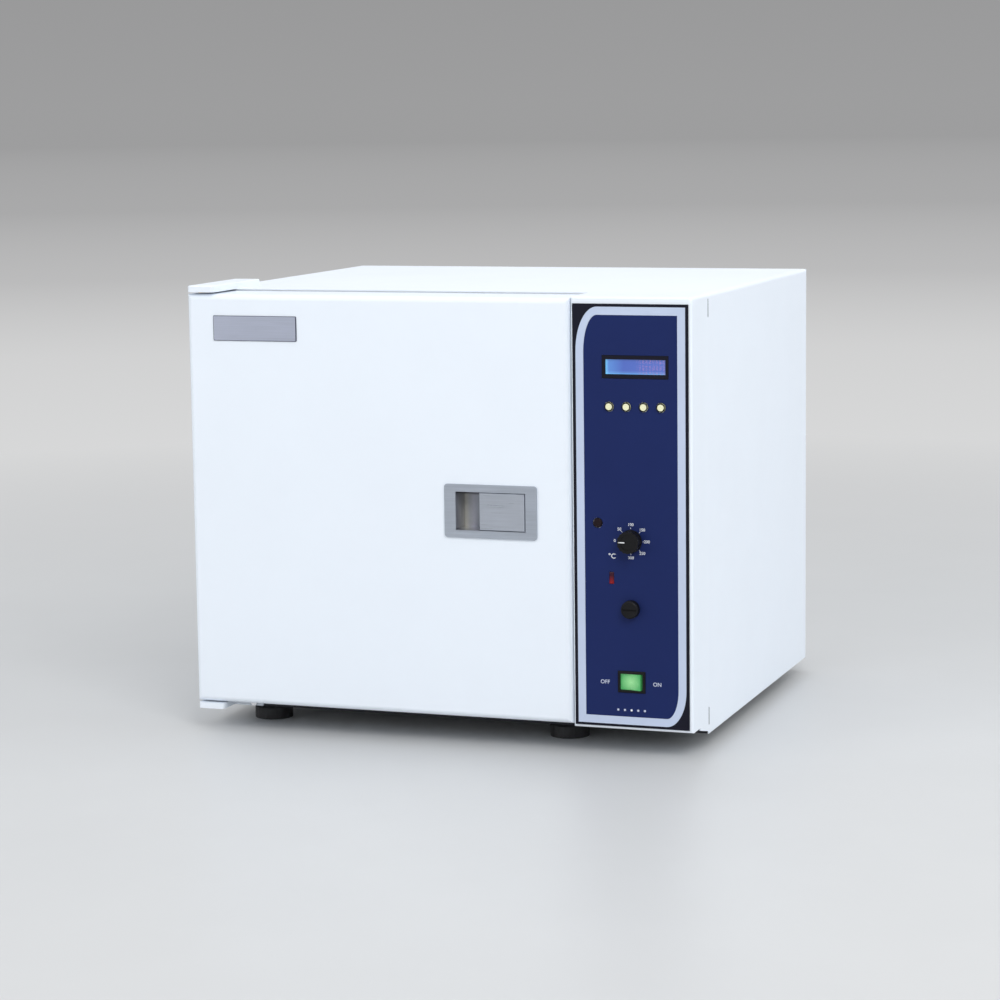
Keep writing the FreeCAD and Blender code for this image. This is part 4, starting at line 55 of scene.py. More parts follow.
def new_material(name):
    """An empty material with a shader linked to its output."""
    material = bpy.data.materials.new(name)
    material.use_nodes = True
    tree = material.node_tree
    tree.nodes.clear()
    out = tree.nodes.new("ShaderNodeOutputMaterial")
    shader = tree.nodes.new("ShaderNodeBsdfPrincipled")
    tree.links.new(shader.outputs["BSDF"], out.inputs["Surface"])
    return material, tree, shader


def add(tree, kind, **values):
    """A node. Each keyword is an input, with _ for a space, or else a property."""
    node = tree.nodes.new("ShaderNode" + kind)
    for key, value in values.items():
        name = key.replace("_", " ")
        if name in node.inputs:
            node.inputs[name].default_value = value
        else:
            setattr(node, key, value)
    return node


def feed(tree, socket, value):
    """Links an output to a socket, or sets the socket to a number or a colour."""
    if hasattr(value, "is_output"):
        tree.links.new(value, socket)
    elif isinstance(value, tuple):
        socket.default_value = (*value, 1)
    else:
        socket.default_value = value


def feed_shader(tree, shader, **values):
    """Feeds the shader's inputs that the keywords name, with _ for a space."""
    for key, value in values.items():
        feed(tree, shader.inputs[key.replace("_", " ")], value)


def own_place(tree):
    """The place in the object's own frame."""
    return add(tree, "TexCoord").outputs["Object"]


def coords(tree, scale=(1, 1, 1), shift=(0, 0, 0)):
    """The place in the object's own frame, scaled and shifted."""
    mapping = add(tree, "Mapping", Scale=scale, Location=shift)
    tree.links.new(own_place(tree), mapping.inputs["Vector"])
    return mapping.outputs["Vector"]


def axes(tree, vector):
    """The X, Y and Z of a vector."""
    split = add(tree, "SeparateXYZ")
    tree.links.new(vector, split.inputs["Vector"])
    return split.outputs["X"], split.outputs["Y"], split.outputs["Z"]


def length(tree, vector):
    """How long a vector is."""
    node = add(tree, "VectorMath", operation="LENGTH")
    tree.links.new(vector, node.inputs[0])
    return node.outputs["Value"]


def noise(tree, vector, scale, detail=4.0, rough=0.6):
    node = add(tree, "TexNoise", Scale=scale, Detail=detail, Roughness=rough)
    tree.links.new(vector, node.inputs["Vector"])
    return node.outputs["Fac"]


def voronoi(tree, vector, scale, output, distance="EUCLIDEAN"):
    node = add(tree, "TexVoronoi", Scale=scale, distance=distance)
    tree.links.new(vector, node.inputs["Vector"])
    return node.outputs[output]


def maths(tree, operation, *values):
    """A sum, product or comparison of outputs and numbers."""
    node = add(tree, "Math", operation=operation)
    for socket, value in zip(node.inputs, values):
        feed(tree, socket, value)
    return node.outputs[0]


def ramp(tree, value, stops):
    """A colour that follows stops of a position and a colour."""
    node = add(tree, "ValToRGB")
    elements = node.color_ramp.elements
    while len(elements) < len(stops):
        elements.new(0.5)
    for element, (position, colour) in zip(elements, stops):
        element.position = position
        element.color = (*colour, 1)
    tree.links.new(value, node.inputs["Fac"])
    return node.outputs["Color"]


def span(tree, value, low, high, from_low=0.3, from_high=0.7):
    """A value brought from one range to another, by default from the middle of a noise."""
    node = add(tree, "MapRange", From_Min=from_low, From_Max=from_high, To_Min=low, To_Max=high)
    tree.links.new(value, node.inputs["Value"])
    return node.outputs["Result"]


def bump(tree, shader, height, strength, distance):
    node = add(tree, "Bump", Strength=strength, Distance=distance)
    tree.links.new(height, node.inputs["Height"])
    tree.links.new(node.outputs["Normal"], shader.inputs["Normal"])


def mix(tree, factor, a, b, blend="MIX"):
    node = add(tree, "Mix", data_type="RGBA", blend_type=blend)
    sockets = {s.identifier: s for s in node.inputs}
    for key, value in (("Factor_Float", factor), ("A_Color", a), ("B_Color", b)):
        feed(tree, sockets[key], value)
    return [s for s in node.outputs if s.identifier == "Result_Color"][0]


def shade(colour, factor):
    return tuple(min(1.0, c * factor) for c in colour)


def tones(tree, value, colour, low, high):
    """A colour that goes from one shade of itself to another over the middle of a noise."""
    return ramp(tree, value, [(0.3, shade(colour, low)), (0.7, shade(colour, high))])


# Materials

def surface(
    name, colour, rough=0.4, metal=0.0, vary=0.04, grain=900.0, depth=0.00002, coat=0.0,
    rough_span=0.06, dirt=0.0, spec=0.5,
):
    """Colour and roughness that vary with cloudy noise, over a fine grained height."""
    material, tree, shader = new_material(name)
    vector = coords(tree)
    tone = tones(tree, noise(tree, vector, 9.0, 5.0), colour, 1 - vary, 1 + vary)
    if dirt:
        patch = noise(tree, vector, 35.0, 6.0, 0.7)
        tone = mix(tree, span(tree, patch, 0.0, dirt, 0.55, 0.8), tone, shade(colour, 0.6))
    blotch = noise(tree, vector, 40.0)
    feed_shader(
        tree, shader, Base_Color=tone, Metallic=metal, Coat_Weight=coat, Coat_Roughness=0.08,
        Roughness=span(tree, blotch, rough - rough_span, rough + rough_span),
        Specular_IOR_Level=spec,
    )
    bump(tree, shader, noise(tree, vector, grain, 3.0), 0.5, depth)
    return material


def brushed(name, colour, rough=0.3, along="X", fine=1400.0, metal=1.0, tint=0.08):
    """Metal with fine streaks that run along one axis."""
    material, tree, shader = new_material(name)
    stretch = {"X": (0.02, 1, 1), "Y": (1, 0.02, 1), "Z": (1, 1, 0.02)}[along]
    streak = noise(tree, coords(tree, stretch), fine, 2.0, 0.5)
    cloud = noise(tree, coords(tree), 12.0, 4.0)
    tone = tones(tree, streak, colour, 1 - tint, 1 + tint)
    tone = mix(tree, span(tree, cloud, 0.0, 0.35), tone, shade(colour, 0.86))
    feed_shader(
        tree, shader, Base_Color=tone, Metallic=metal, Anisotropic=0.4,
        Roughness=span(tree, streak, rough - 0.07, rough + 0.09),
    )
    bump(tree, shader, streak, 0.2, 0.00002)
    return material


def galvanised(name):
    """Zinc-coated sheet with faint crystal flakes."""
    material, tree, shader = new_material(name)
    vector = coords(tree)
    grey = add(tree, "RGBToBW")
    tree.links.new(voronoi(tree, vector, 90.0, "Color"), grey.inputs["Color"])
    flake = grey.outputs["Val"]
    feed_shader(
        tree, shader, Metallic=0.9, Roughness=span(tree, flake, 0.32, 0.5, 0.0, 1.0),
        Base_Color=ramp(tree, flake, [(0.1, (0.45, 0.47, 0.49)), (0.9, (0.66, 0.68, 0.7))]),
    )
    bump(tree, shader, noise(tree, vector, 300.0), 0.3, 0.00002)
    return material


def shaded_latch_cup(name, colour):
    """A brushed flange round a dull cup, with painted shade in the cup: tones that run across it,
    dark at one side, between two dark painted shadow lines at its top and foot.
    """
    skew, lean = 0.365, 0.15  # how far the painted shade moves with depth: the tones sideways and the shadow lines upwards
    left, width = 0.024, 0.0265  # where the painted shade's tones start at the face, and how wide they are
    material, tree, shader = new_material(name)
    x, y, z = axes(tree, own_place(tree))
    streak = noise(tree, coords(tree, (0.02, 1, 1)), 1100.0, 2.0, 0.5)
    flange = tones(tree, streak, colour, 0.93, 1.06)
    across = maths(tree, "MULTIPLY_ADD", y, skew, x)
    start = left + skew * FACE
    # Painted shade: the recess is darkest at one side and lighter towards the paddle
    cup = ramp(tree, span(tree, across, 0.0, 1.0, start, start + width), [
        (0.0, (0.13, 0.135, 0.16)), (0.08, (0.2, 0.205, 0.235)), (0.24, (0.33, 0.335, 0.34)),
        (0.35, (0.47, 0.465, 0.44)), (0.4, (0.68, 0.67, 0.61)), (0.48, (0.7, 0.69, 0.66)),
        (0.58, (0.64, 0.65, 0.68)), (0.76, (0.7, 0.7, 0.79)), (0.96, (0.52, 0.55, 0.62)),
    ])
    grime = noise(tree, coords(tree), 160.0, 5.0, 0.7)
    cup = mix(tree, span(tree, grime, 0.0, 0.14), cup, (0.2, 0.2, 0.19))
    # Painted shadow: dark lines along the cup's top and foot
    upward = maths(tree, "MULTIPLY_ADD", y, lean, z)
    for amount, low, high in ((0.85, 0.2688, 0.2708), (0.6, 0.2338, 0.2316)):
        shadow_line = span(tree, upward, 0.0, amount, low + lean * FACE, high + lean * FACE)
        cup = mix(tree, shadow_line, cup, (0.03, 0.03, 0.045))
    inside = span(tree, y, 0.0, 1.0, FACE - 0.0002, FACE + 0.0015)
    feed_shader(
        tree, shader, Base_Color=mix(tree, inside, flange, cup),
        Metallic=span(tree, inside, 0.9, 0.12, 0.0, 1.0), Roughness=span(tree, streak, 0.3, 0.46),
    )
    bump(tree, shader, streak, 0.35, 0.00002)
    return material


def shadowed_frame_paint(name, colour, shadow_tone):
    """Paint over a dark strip at the foot, which is a painted shadow under the door."""
    # Painted shadow: below this height the frame is dark, as the shade under the door
    shadow_top = (0.0295, 0.0305)
    material, tree, shader = new_material(name)
    z = axes(tree, own_place(tree))[2]
    cloud = noise(tree, coords(tree), 30.0, 4.0)
    above = tones(tree, cloud, colour, 0.985, 1.0)
    painted_shadow = tones(tree, cloud, shadow_tone, 1.0, 1.5)
    feed_shader(
        tree, shader, Base_Color=mix(tree, span(tree, z, 0.0, 1.0, *shadow_top), painted_shadow, above),
        Roughness=span(tree, cloud, 0.4, 0.5), Specular_IOR_Level=0.3,
    )
    bump(tree, shader, noise(tree, coords(tree), 1100.0, 3.0), 0.5, 0.000015)
    return material


def lit_key(name, colour, middle, strength):
    """A tinted key, brighter round the lamp behind its middle."""
    material, tree, shader = new_material(name)
    low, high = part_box("rocker")
    centre = [(a + b) / 2 for a, b in zip(low, high)]
    away = length(tree, coords(tree, (1, 0, 1), (-centre[0], 0, -centre[2])))
    ripple = noise(tree, own_place(tree), 260.0, 3.0)
    glow = span(tree, away, 1.0, 0.0, 0.0005, 0.011)
    tone = mix(tree, glow, shade(colour, 0.75), middle)
    tone = mix(tree, span(tree, ripple, 0.0, 0.25), tone, colour)
    feed_shader(
        tree, shader, Base_Color=tone, Emission_Color=tone, Emission_Strength=strength,
        Roughness=span(tree, ripple, 0.18, 0.3),
    )
    bump(tree, shader, ripple, 0.25, 0.00004)
    return material


def wool(name, colour):
    """Matted mineral fibre."""
    material, tree, shader = new_material(name)
    fibre = noise(tree, coords(tree, (1, 1, 2.5)), 420.0, 6.0, 0.8)
    lump = noise(tree, coords(tree), 40.0, 4.0)
    tone = ramp(tree, fibre, [(0.25, shade(colour, 0.6)), (0.75, shade(colour, 1.25))])
    tone = mix(tree, span(tree, lump, 0.0, 0.5), tone, shade(colour, 0.8))
    feed_shader(tree, shader, Base_Color=tone, Roughness=0.95, Sheen_Weight=0.3)
    bump(tree, shader, maths(tree, "ADD", fibre, lump), 0.9, 0.0008)
    return material


def heated(name, colour):
    """A metal sheath tinted by heat along its run."""
    material, tree, shader = new_material(name)
    vector = coords(tree)
    tone = ramp(tree, noise(tree, vector, 14.0, 3.0), [
        (0.3, shade(colour, 0.7)), (0.45, (0.36, 0.3, 0.25)), (0.6, (0.28, 0.27, 0.33)),
        (0.75, shade(colour, 1.3)),
    ])
    feed_shader(
        tree, shader, Base_Color=tone, Metallic=0.85,
        Roughness=span(tree, noise(tree, vector, 120.0), 0.35, 0.6),
    )
    bump(tree, shader, noise(tree, vector, 900.0), 0.4, 0.00003)
    return material


def circuit(name):
    """Green solder mask with thin raised tracks and pale pads."""
    material, tree, shader = new_material(name)
    cell = voronoi(tree, coords(tree), 160.0, "Distance", "MANHATTAN")
    line = span(tree, cell, 0.0, 1.0, 0.42, 0.5)
    pad = span(tree, cell, 1.0, 0.0, 0.05, 0.1)
    tone = mix(tree, line, (0.03, 0.17, 0.08), (0.05, 0.27, 0.13))
    tone = mix(tree, pad, tone, (0.75, 0.72, 0.6))
    feed_shader(
        tree, shader, Base_Color=tone, Roughness=span(tree, line, 0.28, 0.42, 0.0, 1.0)
    )
    bump(tree, shader, line, 0.4, 0.00005)
    return material


def glowing(name, colour, deep, strength, low, high):
    """Tinted plastic lit a little from inside, from one colour at its foot to a deep one."""
    material, tree, shader = new_material(name)
    vector = coords(tree)
    cloud = noise(tree, vector, 160.0, 3.0)
    z = axes(tree, own_place(tree))[2]
    height = maths(tree, "MULTIPLY_ADD", cloud, (high - low) * 0.3, z)
    tone = mix(tree, span(tree, height, 0.0, 1.0, low, high), colour, deep)
    feed_shader(
        tree, shader, Base_Color=tone, Emission_Color=tone, Emission_Strength=strength,
        Roughness=span(tree, noise(tree, vector, 500.0), 0.15, 0.25), Specular_IOR_Level=0.2,
    )
    bump(tree, shader, noise(tree, vector, 350.0), 0.25, 0.00003)
    return material


def display_glass(name, low, high):
    """Backlit blue glass, brighter at its left and foot, with faint specks in a grid of cells."""
    material, tree, shader = new_material(name)
    place = own_place(tree)
    x, _, z = axes(tree, place)
    across = span(tree, x, 0.0, 1.0, low[0], high[0])
    up = span(tree, z, 0.0, 1.0, low[2], high[2])
    base = ramp(tree, across, [
        (0.0, (0.13, 0.42, 0.72)), (0.05, (0.06, 0.17, 0.45)), (0.3, (0.04, 0.085, 0.34)),
        (1.0, (0.055, 0.1, 0.36)),
    ])
    foot = ramp(tree, up, [
        (0.0, (0.06, 0.22, 0.3)), (0.1, (0.02, 0.06, 0.08)), (0.25, (0, 0, 0)),
    ])
    base = mix(tree, 1.0, base, foot, "ADD")
    flat = add(tree, "CombineXYZ")
    tree.links.new(x, flat.inputs["X"])
    tree.links.new(z, flat.inputs["Y"])
    cell = add(
        tree, "TexBrick", Scale=1.0, Mortar_Size=0.0007, Mortar_Smooth=0.3, Brick_Width=0.0036,
        Row_Height=0.0068, offset=0.0,
    )
    tree.links.new(flat.outputs["Vector"], cell.inputs["Vector"])
    speck = maths(tree, "GREATER_THAN", noise(tree, flat.outputs["Vector"], 900.0, 2.0), 0.52)
    inside = maths(tree, "SUBTRACT", 1.0, cell.outputs["Fac"])
    right_half = span(tree, across, 0.0, 0.55, 0.5, 0.62)
    amount = maths(tree, "MULTIPLY", maths(tree, "MULTIPLY", speck, inside), right_half)
    tone = mix(tree, amount, base, (0.3, 0.16, 0.36))
    feed_shader(
        tree, shader, Base_Color=tone, Emission_Color=tone, Emission_Strength=0.55,
        Roughness=span(tree, noise(tree, place, 700.0), 0.06, 0.14), Coat_Weight=1.0,
    )
    return material


MATERIALS = {
    "galvanized": galvanised("zinc_sheet"),
    "stainless": brushed("stainless", (0.62, 0.63, 0.65), 0.26),
    "wool": wool("mineral_wool", (0.62, 0.55, 0.36)),
    "rubber": surface(
        "black_rubber", (0.018, 0.018, 0.02), 0.62, vary=0.2, grain=1200.0, depth=0.00006,
        dirt=0.3,
    ),
    "silicone": surface(
        "silicone", (0.42, 0.1, 0.05), 0.5, vary=0.08, grain=700.0, depth=0.00004,
    ),
    "heater_sheath": heated("heater_sheath", (0.3, 0.28, 0.26)),
    "copper": brushed("copper_tube", (0.75, 0.38, 0.22), along="Z"),
    "steel": brushed("machined_steel", (0.5, 0.51, 0.53), along="Z"),
    "bronze": surface(
        "bearing_bronze", (0.62, 0.4, 0.16), 0.38, 0.95, 0.08, 1100.0, 0.00004,
    ),
    "screw_steel": brushed("screw_plate", (0.7, 0.71, 0.73), 0.2, "Y"),
    "latch_steel": brushed(
        "latch_metal", (0.47, 0.505, 0.57), 0.34, fine=1100.0, metal=0.9, tint=0.07,
    ),
    "panel_black": surface(
        "panel_black", (0.006, 0.006, 0.014), 0.5, vary=0.15, grain=1300.0, spec=0.15,
    ),
    "panel_silver": surface(
        "silver_print", (0.53, 0.605, 0.77), metal=0.15, vary=0.035, grain=1600.0,
        depth=0.00001, spec=0.4,
    ),
    "panel_blue": surface(
        "blue_film", (0.01, 0.02, 0.098), 0.46, vary=0.05, grain=1800.0, depth=0.000012,
        rough_span=0.04, spec=0.12,
    ),
    "board_green": circuit("circuit_board"),
    "button_ivory": surface(
        "ivory_button", (0.84, 0.83, 0.55), 0.34, vary=0.07, coat=0.2, dirt=0.25,
    ),
    "reset_brown": surface("reset_cap", (0.013, 0.007, 0.009), vary=0.12, spec=0.12),
    "black_plastic": surface(
        "black_plastic", (0.008, 0.008, 0.009), 0.42, vary=0.25, grain=1000.0, depth=0.00004,
        spec=0.16,
    ),
    "lamp_red": glowing(
        "red_lens", (0.27, 0.012, 0.014), (0.035, 0.006, 0.016), 0.1, 0.183, 0.1915,
    ),
    "rocker_green": lit_key("green_rocker", (0.08, 0.46, 0.13), (0.3, 0.64, 0.28), 0.2),
    "transformer_iron": brushed(
        "laminations", (0.16, 0.15, 0.15), 0.5, fine=500.0, metal=0.7, tint=0.25,
    ),
    "terminal_plastic": surface(
        "terminal_plastic", (0.7, 0.66, 0.52), 0.45, vary=0.06, grain=800.0,
    ),
    "white_paint": surface(
        "white_paint", (0.82, 0.872, 0.94), 0.42, vary=0.008, grain=1100.0, depth=0.000015,
        spec=0.35,
    ),
    "lcd_blue": display_glass("display_glass", *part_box("lcd_screen")),
}
side_white = surface(
    "cover_paint", (0.82, 0.868, 0.935), 0.5, vary=0.01, grain=1100.0, depth=0.000015, spec=0.2,
)
OWN = {
    "outer_cover": side_white,
    "back_panel": side_white,
    # The latch case's cup carries painted shade and painted shadow lines
    "latch_case": shaded_latch_cup("shaded_latch_cup", (0.43, 0.47, 0.535)),
    # The front frame's foot carries a painted shadow under the door
    "front_frame": shadowed_frame_paint("shadowed_frame_paint", (0.82, 0.87, 0.95), (0.012, 0.012, 0.018)),
}
SLOTS = {entry["node"]: entry["material_slot"] for entry in frame["record"]["subparts"]}
for name, item in frame["nodes"].items():
    item.data.materials.clear()
    item.data.materials.append(OWN.get(name, MATERIALS[SLOTS[name]]))


# Meshes

def new_item(name, data):
    """An object in the scene."""
    item = bpy.data.objects.new(name, data)
    bpy.context.scene.collection.objects.link(item)
    return item


def new_mesh(name, work):
    """A mesh made from a bmesh, which is freed."""
    mesh = bpy.data.meshes.new(name)
    work.to_mesh(mesh)
    work.free()
    return mesh


def piece(name, mesh, material, body):
    """A mesh as a piece that rides on a body."""
    item = new_item(name, mesh)
    mesh.materials.clear()
    mesh.materials.append(material)
    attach(item, body)


def slab(name, low, high, material, body, radius=0.0):
    """A box whose corners, as seen from the front, are rounded."""
    work = bmesh.new()
    bmesh.ops.create_cube(work, size=1.0)
    size = [b - a for a, b in zip(low, high)]
    centre = [(a + b) / 2 for a, b in zip(low, high)]
    bmesh.ops.scale(work, vec=size, verts=work.verts)
    bmesh.ops.translate(work, vec=centre, verts=work.verts)
    if radius:
        along = [
            e for e in work.edges
            if abs(e.verts[0].co.y - e.verts[1].co.y) > size[1] * 0.5
        ]
        bmesh.ops.bevel(
            work, geom=along, offset=radius, segments=4, profile=0.5, affect="EDGES"
        )
    piece(name, new_mesh(name, work), material, body)


def prism(name, outline, direction, material, body):
    """A flat outline of points pushed along a direction."""
    work = bmesh.new()
    front = [work.verts.new(Vector(p)) for p in outline]
    back = [work.verts.new(Vector(p) + Vector(direction)) for p in outline]
    work.faces.new(front)
    work.faces.new(list(reversed(back)))
    for i in range(len(front)):
        j = (i + 1) % len(front)
        work.faces.new((front[i], back[i], back[j], front[j]))
    bmesh.ops.recalc_face_normals(work, faces=work.faces)
    piece(name, new_mesh(name, work), material, body)


def disc(name, x, z, y_front, y_back, radius, material, body, inner=0.0, count=48):
    """A flat disc, or a ring where inner is given, that faces forward."""
    work = bmesh.new()
    rings = []
    for y in (y_front, y_back):
        for r in ((radius, inner) if inner else (radius,)):
            angles = [math.tau * i / count for i in range(count)]
            rings.append([
                work.verts.new((x + r * math.cos(a), y, z + r * math.sin(a))) for a in angles
            ])
    if inner:
        outer_f, inner_f, outer_b, inner_b = rings
        pairs = [
            (outer_f, inner_f), (inner_b, outer_b), (outer_b, outer_f), (inner_f, inner_b),
        ]
    else:
        outer_f, outer_b = rings
        work.faces.new(outer_f)
        work.faces.new(list(reversed(outer_b)))
        pairs = [(outer_b, outer_f)]
    for a, b in pairs:
        for i in range(count):
            j = (i + 1) % count
            work.faces.new((a[i], a[j], b[j], b[i]))
    bmesh.ops.recalc_face_normals(work, faces=work.faces)
    piece(name, new_mesh(name, work), material, body)


def lettering(name, text, x, z, height, material, bold=0.00008):
    """Plain upright characters printed on the panel's film."""
    curve = bpy.data.curves.new(name + "_curve", "FONT")
    curve.body = text
    curve.size = height * 1.38  # from a capital's height to the font's size
    curve.align_x = "CENTER"
    curve.align_y = "CENTER"
    curve.extrude = INK / 2
    curve.offset = bold
    curve.resolution_u = 4
    holder = new_item(name + "_holder", curve)
    bpy.context.view_layer.update()
    graph = bpy.context.evaluated_depsgraph_get()
    mesh = bpy.data.meshes.new_from_object(holder.evaluated_get(graph))
    bpy.data.objects.remove(holder)
    bpy.data.curves.remove(curve)
    upright = Matrix.Rotation(math.radians(90), 4, "X")
    mesh.transform(Matrix.Translation((x, FILM - INK / 2, z)) @ upright)
    mesh.name = name
    piece(name, mesh, material, "cabinet")


print_white = surface(
    "white_print", (0.8, 0.82, 0.86), 0.5, vary=0.03, grain=1500.0, depth=0.000005,
)
print_dim = surface(
    "pale_print", (0.5, 0.54, 0.66), 0.5, vary=0.05, grain=1500.0, depth=0.000005,
)
plate_metal = brushed(
    "badge_metal", (0.41, 0.44, 0.535), 0.36, fine=1300.0, metal=0.7, tint=0.06,
)
plate_edge = surface("badge_edge", (0.045, 0.048, 0.08), 0.4, 0.5, 0.1, 1200.0)
# Painted shadow for the cover's slots: a flat black with no shine
slot_shadow = surface("slot_shade_fill", (0.001, 0.001, 0.004), 0.9, vary=0.3, spec=0.0)
pointer = surface("pointer_inlay", (0.85, 0.86, 0.88), vary=0.03, grain=1200.0)

# Round the dial: the numbers 0 to 300, each with a mark that narrows outwards
NUMBER_RING = 0.0172
MARK = ((0.0128, -0.00028), (0.0144, -0.00018), (0.0144, 0.00018), (0.0128, 0.00028))
for i in range(7):
    angle = math.radians(180 - 45 * i)
    cos, sin = math.cos(angle), math.sin(angle)
    cx = DIAL[0] + NUMBER_RING * cos
    cz = DIAL[1] + NUMBER_RING * sin
    lettering("dial_number_%d" % i, str(50 * i), cx, cz, 0.0031, print_white, 0.00003)
    outline = [
        (DIAL[0] + out * cos - side * sin, FILM - INK, DIAL[1] + out * sin + side * cos)
        for out, side in MARK
    ]
    prism("dial_mark_%d" % i, outline, (0, INK, 0), print_white, "cabinet")

for name, text, x, z, height, ink in (
    ("dial_degree", "°C", 0.1945, 0.2103, 0.0052, print_white),
    ("switch_off", "OFF", 0.1862, 0.0786, 0.0042, print_dim),
    ("switch_on", "ON", 0.2422, 0.0783, 0.0042, print_dim),
):
    lettering(name, text, x, z, height, ink)

# Five dots at the panel's foot, the middle one brighter
DOTS = (0.2001, 0.0501)  # x and z of the first
DOT_STEP = 0.00715
for i in range(5):
    disc(
        "foot_dot_%d" % i, DOTS[0] + DOT_STEP * i, DOTS[1], FILM - INK, FILM, 0.0012,
        print_dim if i != 2 else print_white, "cabinet", count=20,
    )

# A dark rim round each menu button's cap
for i in range(1, 5):
    low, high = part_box("menu_button_%d" % i)
    disc(
        "button_rim_%d" % i, (low[0] + high[0]) / 2, (low[2] + high[2]) / 2,
        low[1] - 0.0002, low[1] + 0.0008, 0.00445, MATERIALS["black_plastic"],
        "menu_button_%d" % i, inner=0.0035,
    )

# Painted shadow: dark strips that fill the two slots in the cover's right front edge, in place of
# the shade inside them, as y and z
SIDE = 0.27999  # x just inside the cover's right side
STRIP_DEPTH = 0.0006
for name, outline in (
    ("upper", [(-0.18695, 0.4526), (-0.18485, 0.4526), (-0.18485, 0.4615),
               (-0.1853, 0.4712), (-0.1859, 0.4712), (-0.18695, 0.4615)]),
    ("lower", [(-0.18695, 0.0268), (-0.1863, 0.0261), (-0.18485, 0.0261),
               (-0.18485, 0.0443), (-0.1855, 0.0449), (-0.18695, 0.0449)]),
):
    prism(
        "slot_strip_" + name, [(SIDE, y, z) for y, z in outline], (-STRIP_DEPTH, 0, 0),
        slot_shadow, "cabinet",
    )

# A bare badge plate on the door, on a darker edge
EDGE_FRONT = FACE - 0.0008
slab(
    "badge_edge", (-0.2490, EDGE_FRONT, 0.4253), (-0.1529, FACE, 0.4520), plate_edge,
    "door", 0.0012,
)
slab(
    "badge_plate", (-0.2484, FACE - 0.0012, 0.4259), (-0.1537, EDGE_FRONT, 0.4515),
    plate_metal, "door", 0.001,
)

# A white inlay in the knob's groove
slab(
    "knob_pointer", (DIAL[0] - 0.0103, -0.2595, DIAL[1] - 0.0005),
    (DIAL[0] - 0.0035, -0.2590, DIAL[1] + 0.0005), pointer, "knob",
)


# Camera and light

def set_camera():
    """The photo's view: about 2.87 picture widths of lens, and a slight roll."""
    data = bpy.data.cameras.new("camera")
    data.sensor_width = 36.0
    data.lens = 36.0 * 2.8655
    data.clip_start = 0.05
    data.clip_end = 400.0
    yaw, pitch, roll = (math.radians(v) for v in (19.545, 7.922, -0.734))
    forward = Vector((
        -math.sin(yaw) * math.cos(pitch), math.cos(yaw) * math.cos(pitch), -math.sin(pitch),
    ))
    level = Vector((math.cos(yaw), math.sin(yaw), 0.0))
    steep = level.cross(forward)
    right = level * math.cos(roll) + steep * math.sin(roll)
    up = steep * math.cos(roll) - level * math.sin(roll)
    turn = Matrix((right, up, -forward)).transposed().to_4x4()
    item = new_item("camera", data)
    item.matrix_world = Matrix.Translation((1.0589, -3.0247, 0.6744)) @ turn
    bpy.context.scene.camera = item


def area_light(name, place, target, size, power, colour=(1, 1, 1)):
    """A rectangular light at a place that looks at a target."""
    data = bpy.data.lights.new(name, "AREA")
    data.shape = "RECTANGLE"
    data.size, data.size_y = size
    data.energy = power
    data.color = colour
    item = new_item(name, data)
    item.location = place
    item.rotation_mode = "QUATERNION"
    item.rotation_quaternion = (Vector(target) - Vector(place)).to_track_quat("-Z", "Y")


def seen_straight(tree):
    """One where the ray comes from the camera or from a glossy or clear surface."""
    path = add(tree, "LightPath")
    value = path.outputs["Is Camera Ray"]
    for name in ("Is Glossy Ray", "Is Transmission Ray"):
        value = maths(tree, "MAXIMUM", value, path.outputs[name])
    return value


def blend_into_output(tree, kind, factor, first, second):
    """Mixes two shaders and links them to the tree's output."""
    blend = add(tree, "MixShader")
    for socket, source in zip(blend.inputs, (factor, first, second)):
        tree.links.new(source, socket)
    out = [n for n in tree.nodes if n.type == kind][0]
    tree.links.new(blend.outputs[0], out.inputs["Surface"])


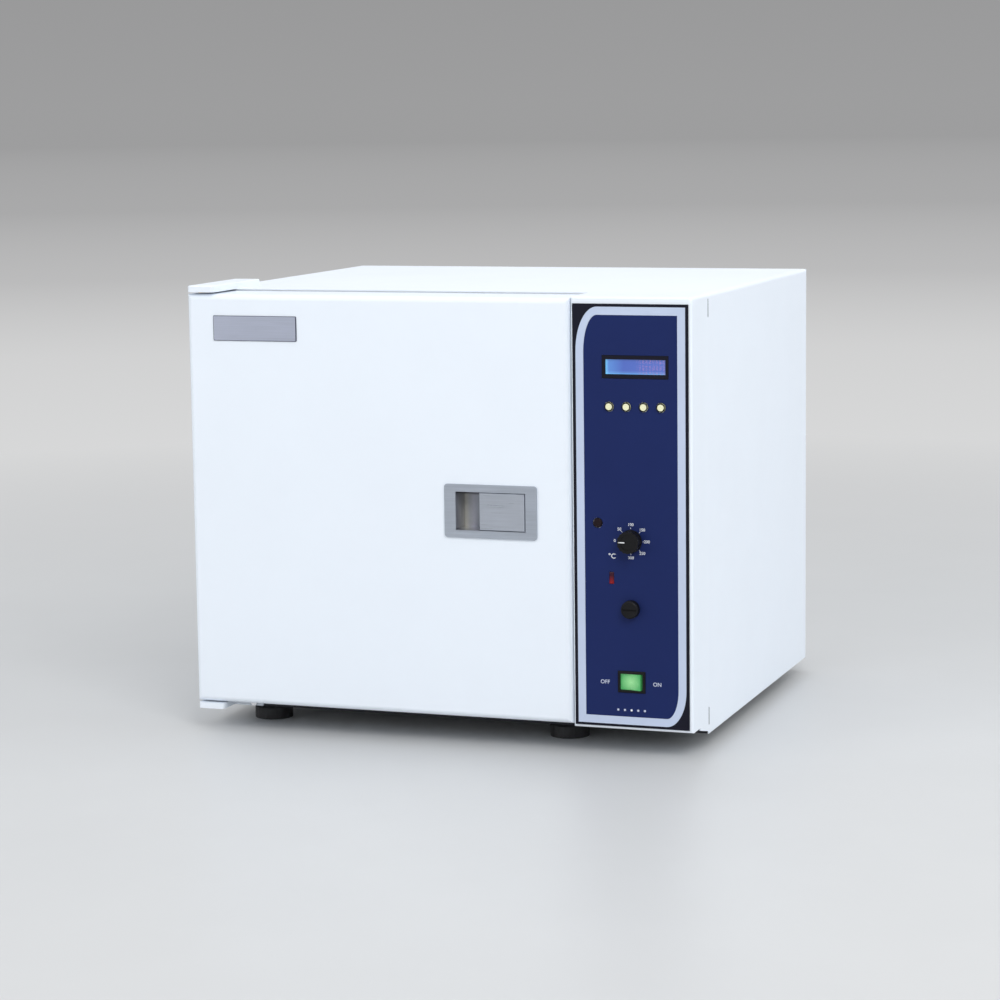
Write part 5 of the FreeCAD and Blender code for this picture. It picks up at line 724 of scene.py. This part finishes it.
def make_floor():
    """A wide pale floor that fades to the backdrop's grey far behind the object."""
    material, tree, shader = new_material("floor_paint")
    feed_shader(
        tree, shader, Roughness=0.42,
        Base_Color=ramp(tree, noise(tree, coords(tree), 3.0), [
            (0.3, (0.58, 0.585, 0.59)), (0.7, (0.6, 0.605, 0.61)),
        ]),
    )
    distance = length(tree, add(tree, "NewGeometry").outputs["Position"])
    glow = add(tree, "Emission")
    feed(tree, glow.inputs["Color"], ramp(tree, span(tree, distance, 0.0, 1.0, 2.5, 46.0), [
        (0.0, (0.68, 0.684, 0.688)), (0.05, (0.64, 0.642, 0.645)), (0.13, (0.5, 0.5, 0.504)),
        (0.3, (0.4, 0.4, 0.404)), (1.0, (0.34, 0.34, 0.344)),
    ]))
    near_fade = span(tree, distance, 0.0, 1.0, 0.8, 2.6)
    amount = maths(tree, "MULTIPLY", near_fade, seen_straight(tree))
    blend_into_output(
        tree, "OUTPUT_MATERIAL", amount, shader.outputs["BSDF"], glow.outputs["Emission"]
    )
    work = bmesh.new()
    bmesh.ops.create_grid(work, x_segments=1, y_segments=1, size=90.0)
    mesh = new_mesh("floor", work)
    mesh.materials.append(material)
    item = new_item("floor", mesh)


def set_world():
    """Even studio light, with a grey backdrop that the camera and glossy surfaces see."""
    world = bpy.data.worlds.new("studio")
    bpy.context.scene.world = world
    world.use_nodes = True
    tree = world.node_tree
    light = tree.nodes["Background"]
    light.inputs["Color"].default_value = (0.93, 0.965, 1.0, 1)
    light.inputs["Strength"].default_value = 0.575
    height = axes(tree, add(tree, "TexCoord").outputs["Generated"])[2]
    backdrop = add(tree, "Background")
    feed(tree, backdrop.inputs["Color"], ramp(tree, height, [
        (0.0, (0.34, 0.34, 0.344)), (0.04, (0.32, 0.32, 0.324)), (0.15, (0.66, 0.665, 0.675)),
        (0.5, (0.9, 0.905, 0.915)),
    ]))
    blend_into_output(
        tree, "OUTPUT_WORLD", seen_straight(tree), light.outputs["Background"],
        backdrop.outputs["Background"],
    )


set_camera()
make_floor()
set_world()
MIDDLE = (0, 0, 0.25)
area_light("key", (1.6, -2.2, 2.4), MIDDLE, (1.6, 1.6), 50.0)
area_light("side", (2.8, 0.4, 1.4), MIDDLE, (1.6, 2.0), 21.0, (0.95, 0.98, 1.0))
area_light("top", (-0.3, 0.2, 3.2), (0, 0, 0), (2.2, 2.2), 24.0)
area_light("fill", (-2.4, -2.6, 1.2), MIDDLE, (2.0, 2.0), 27.0)

bpy.context.scene.view_settings.view_transform = "Standard"
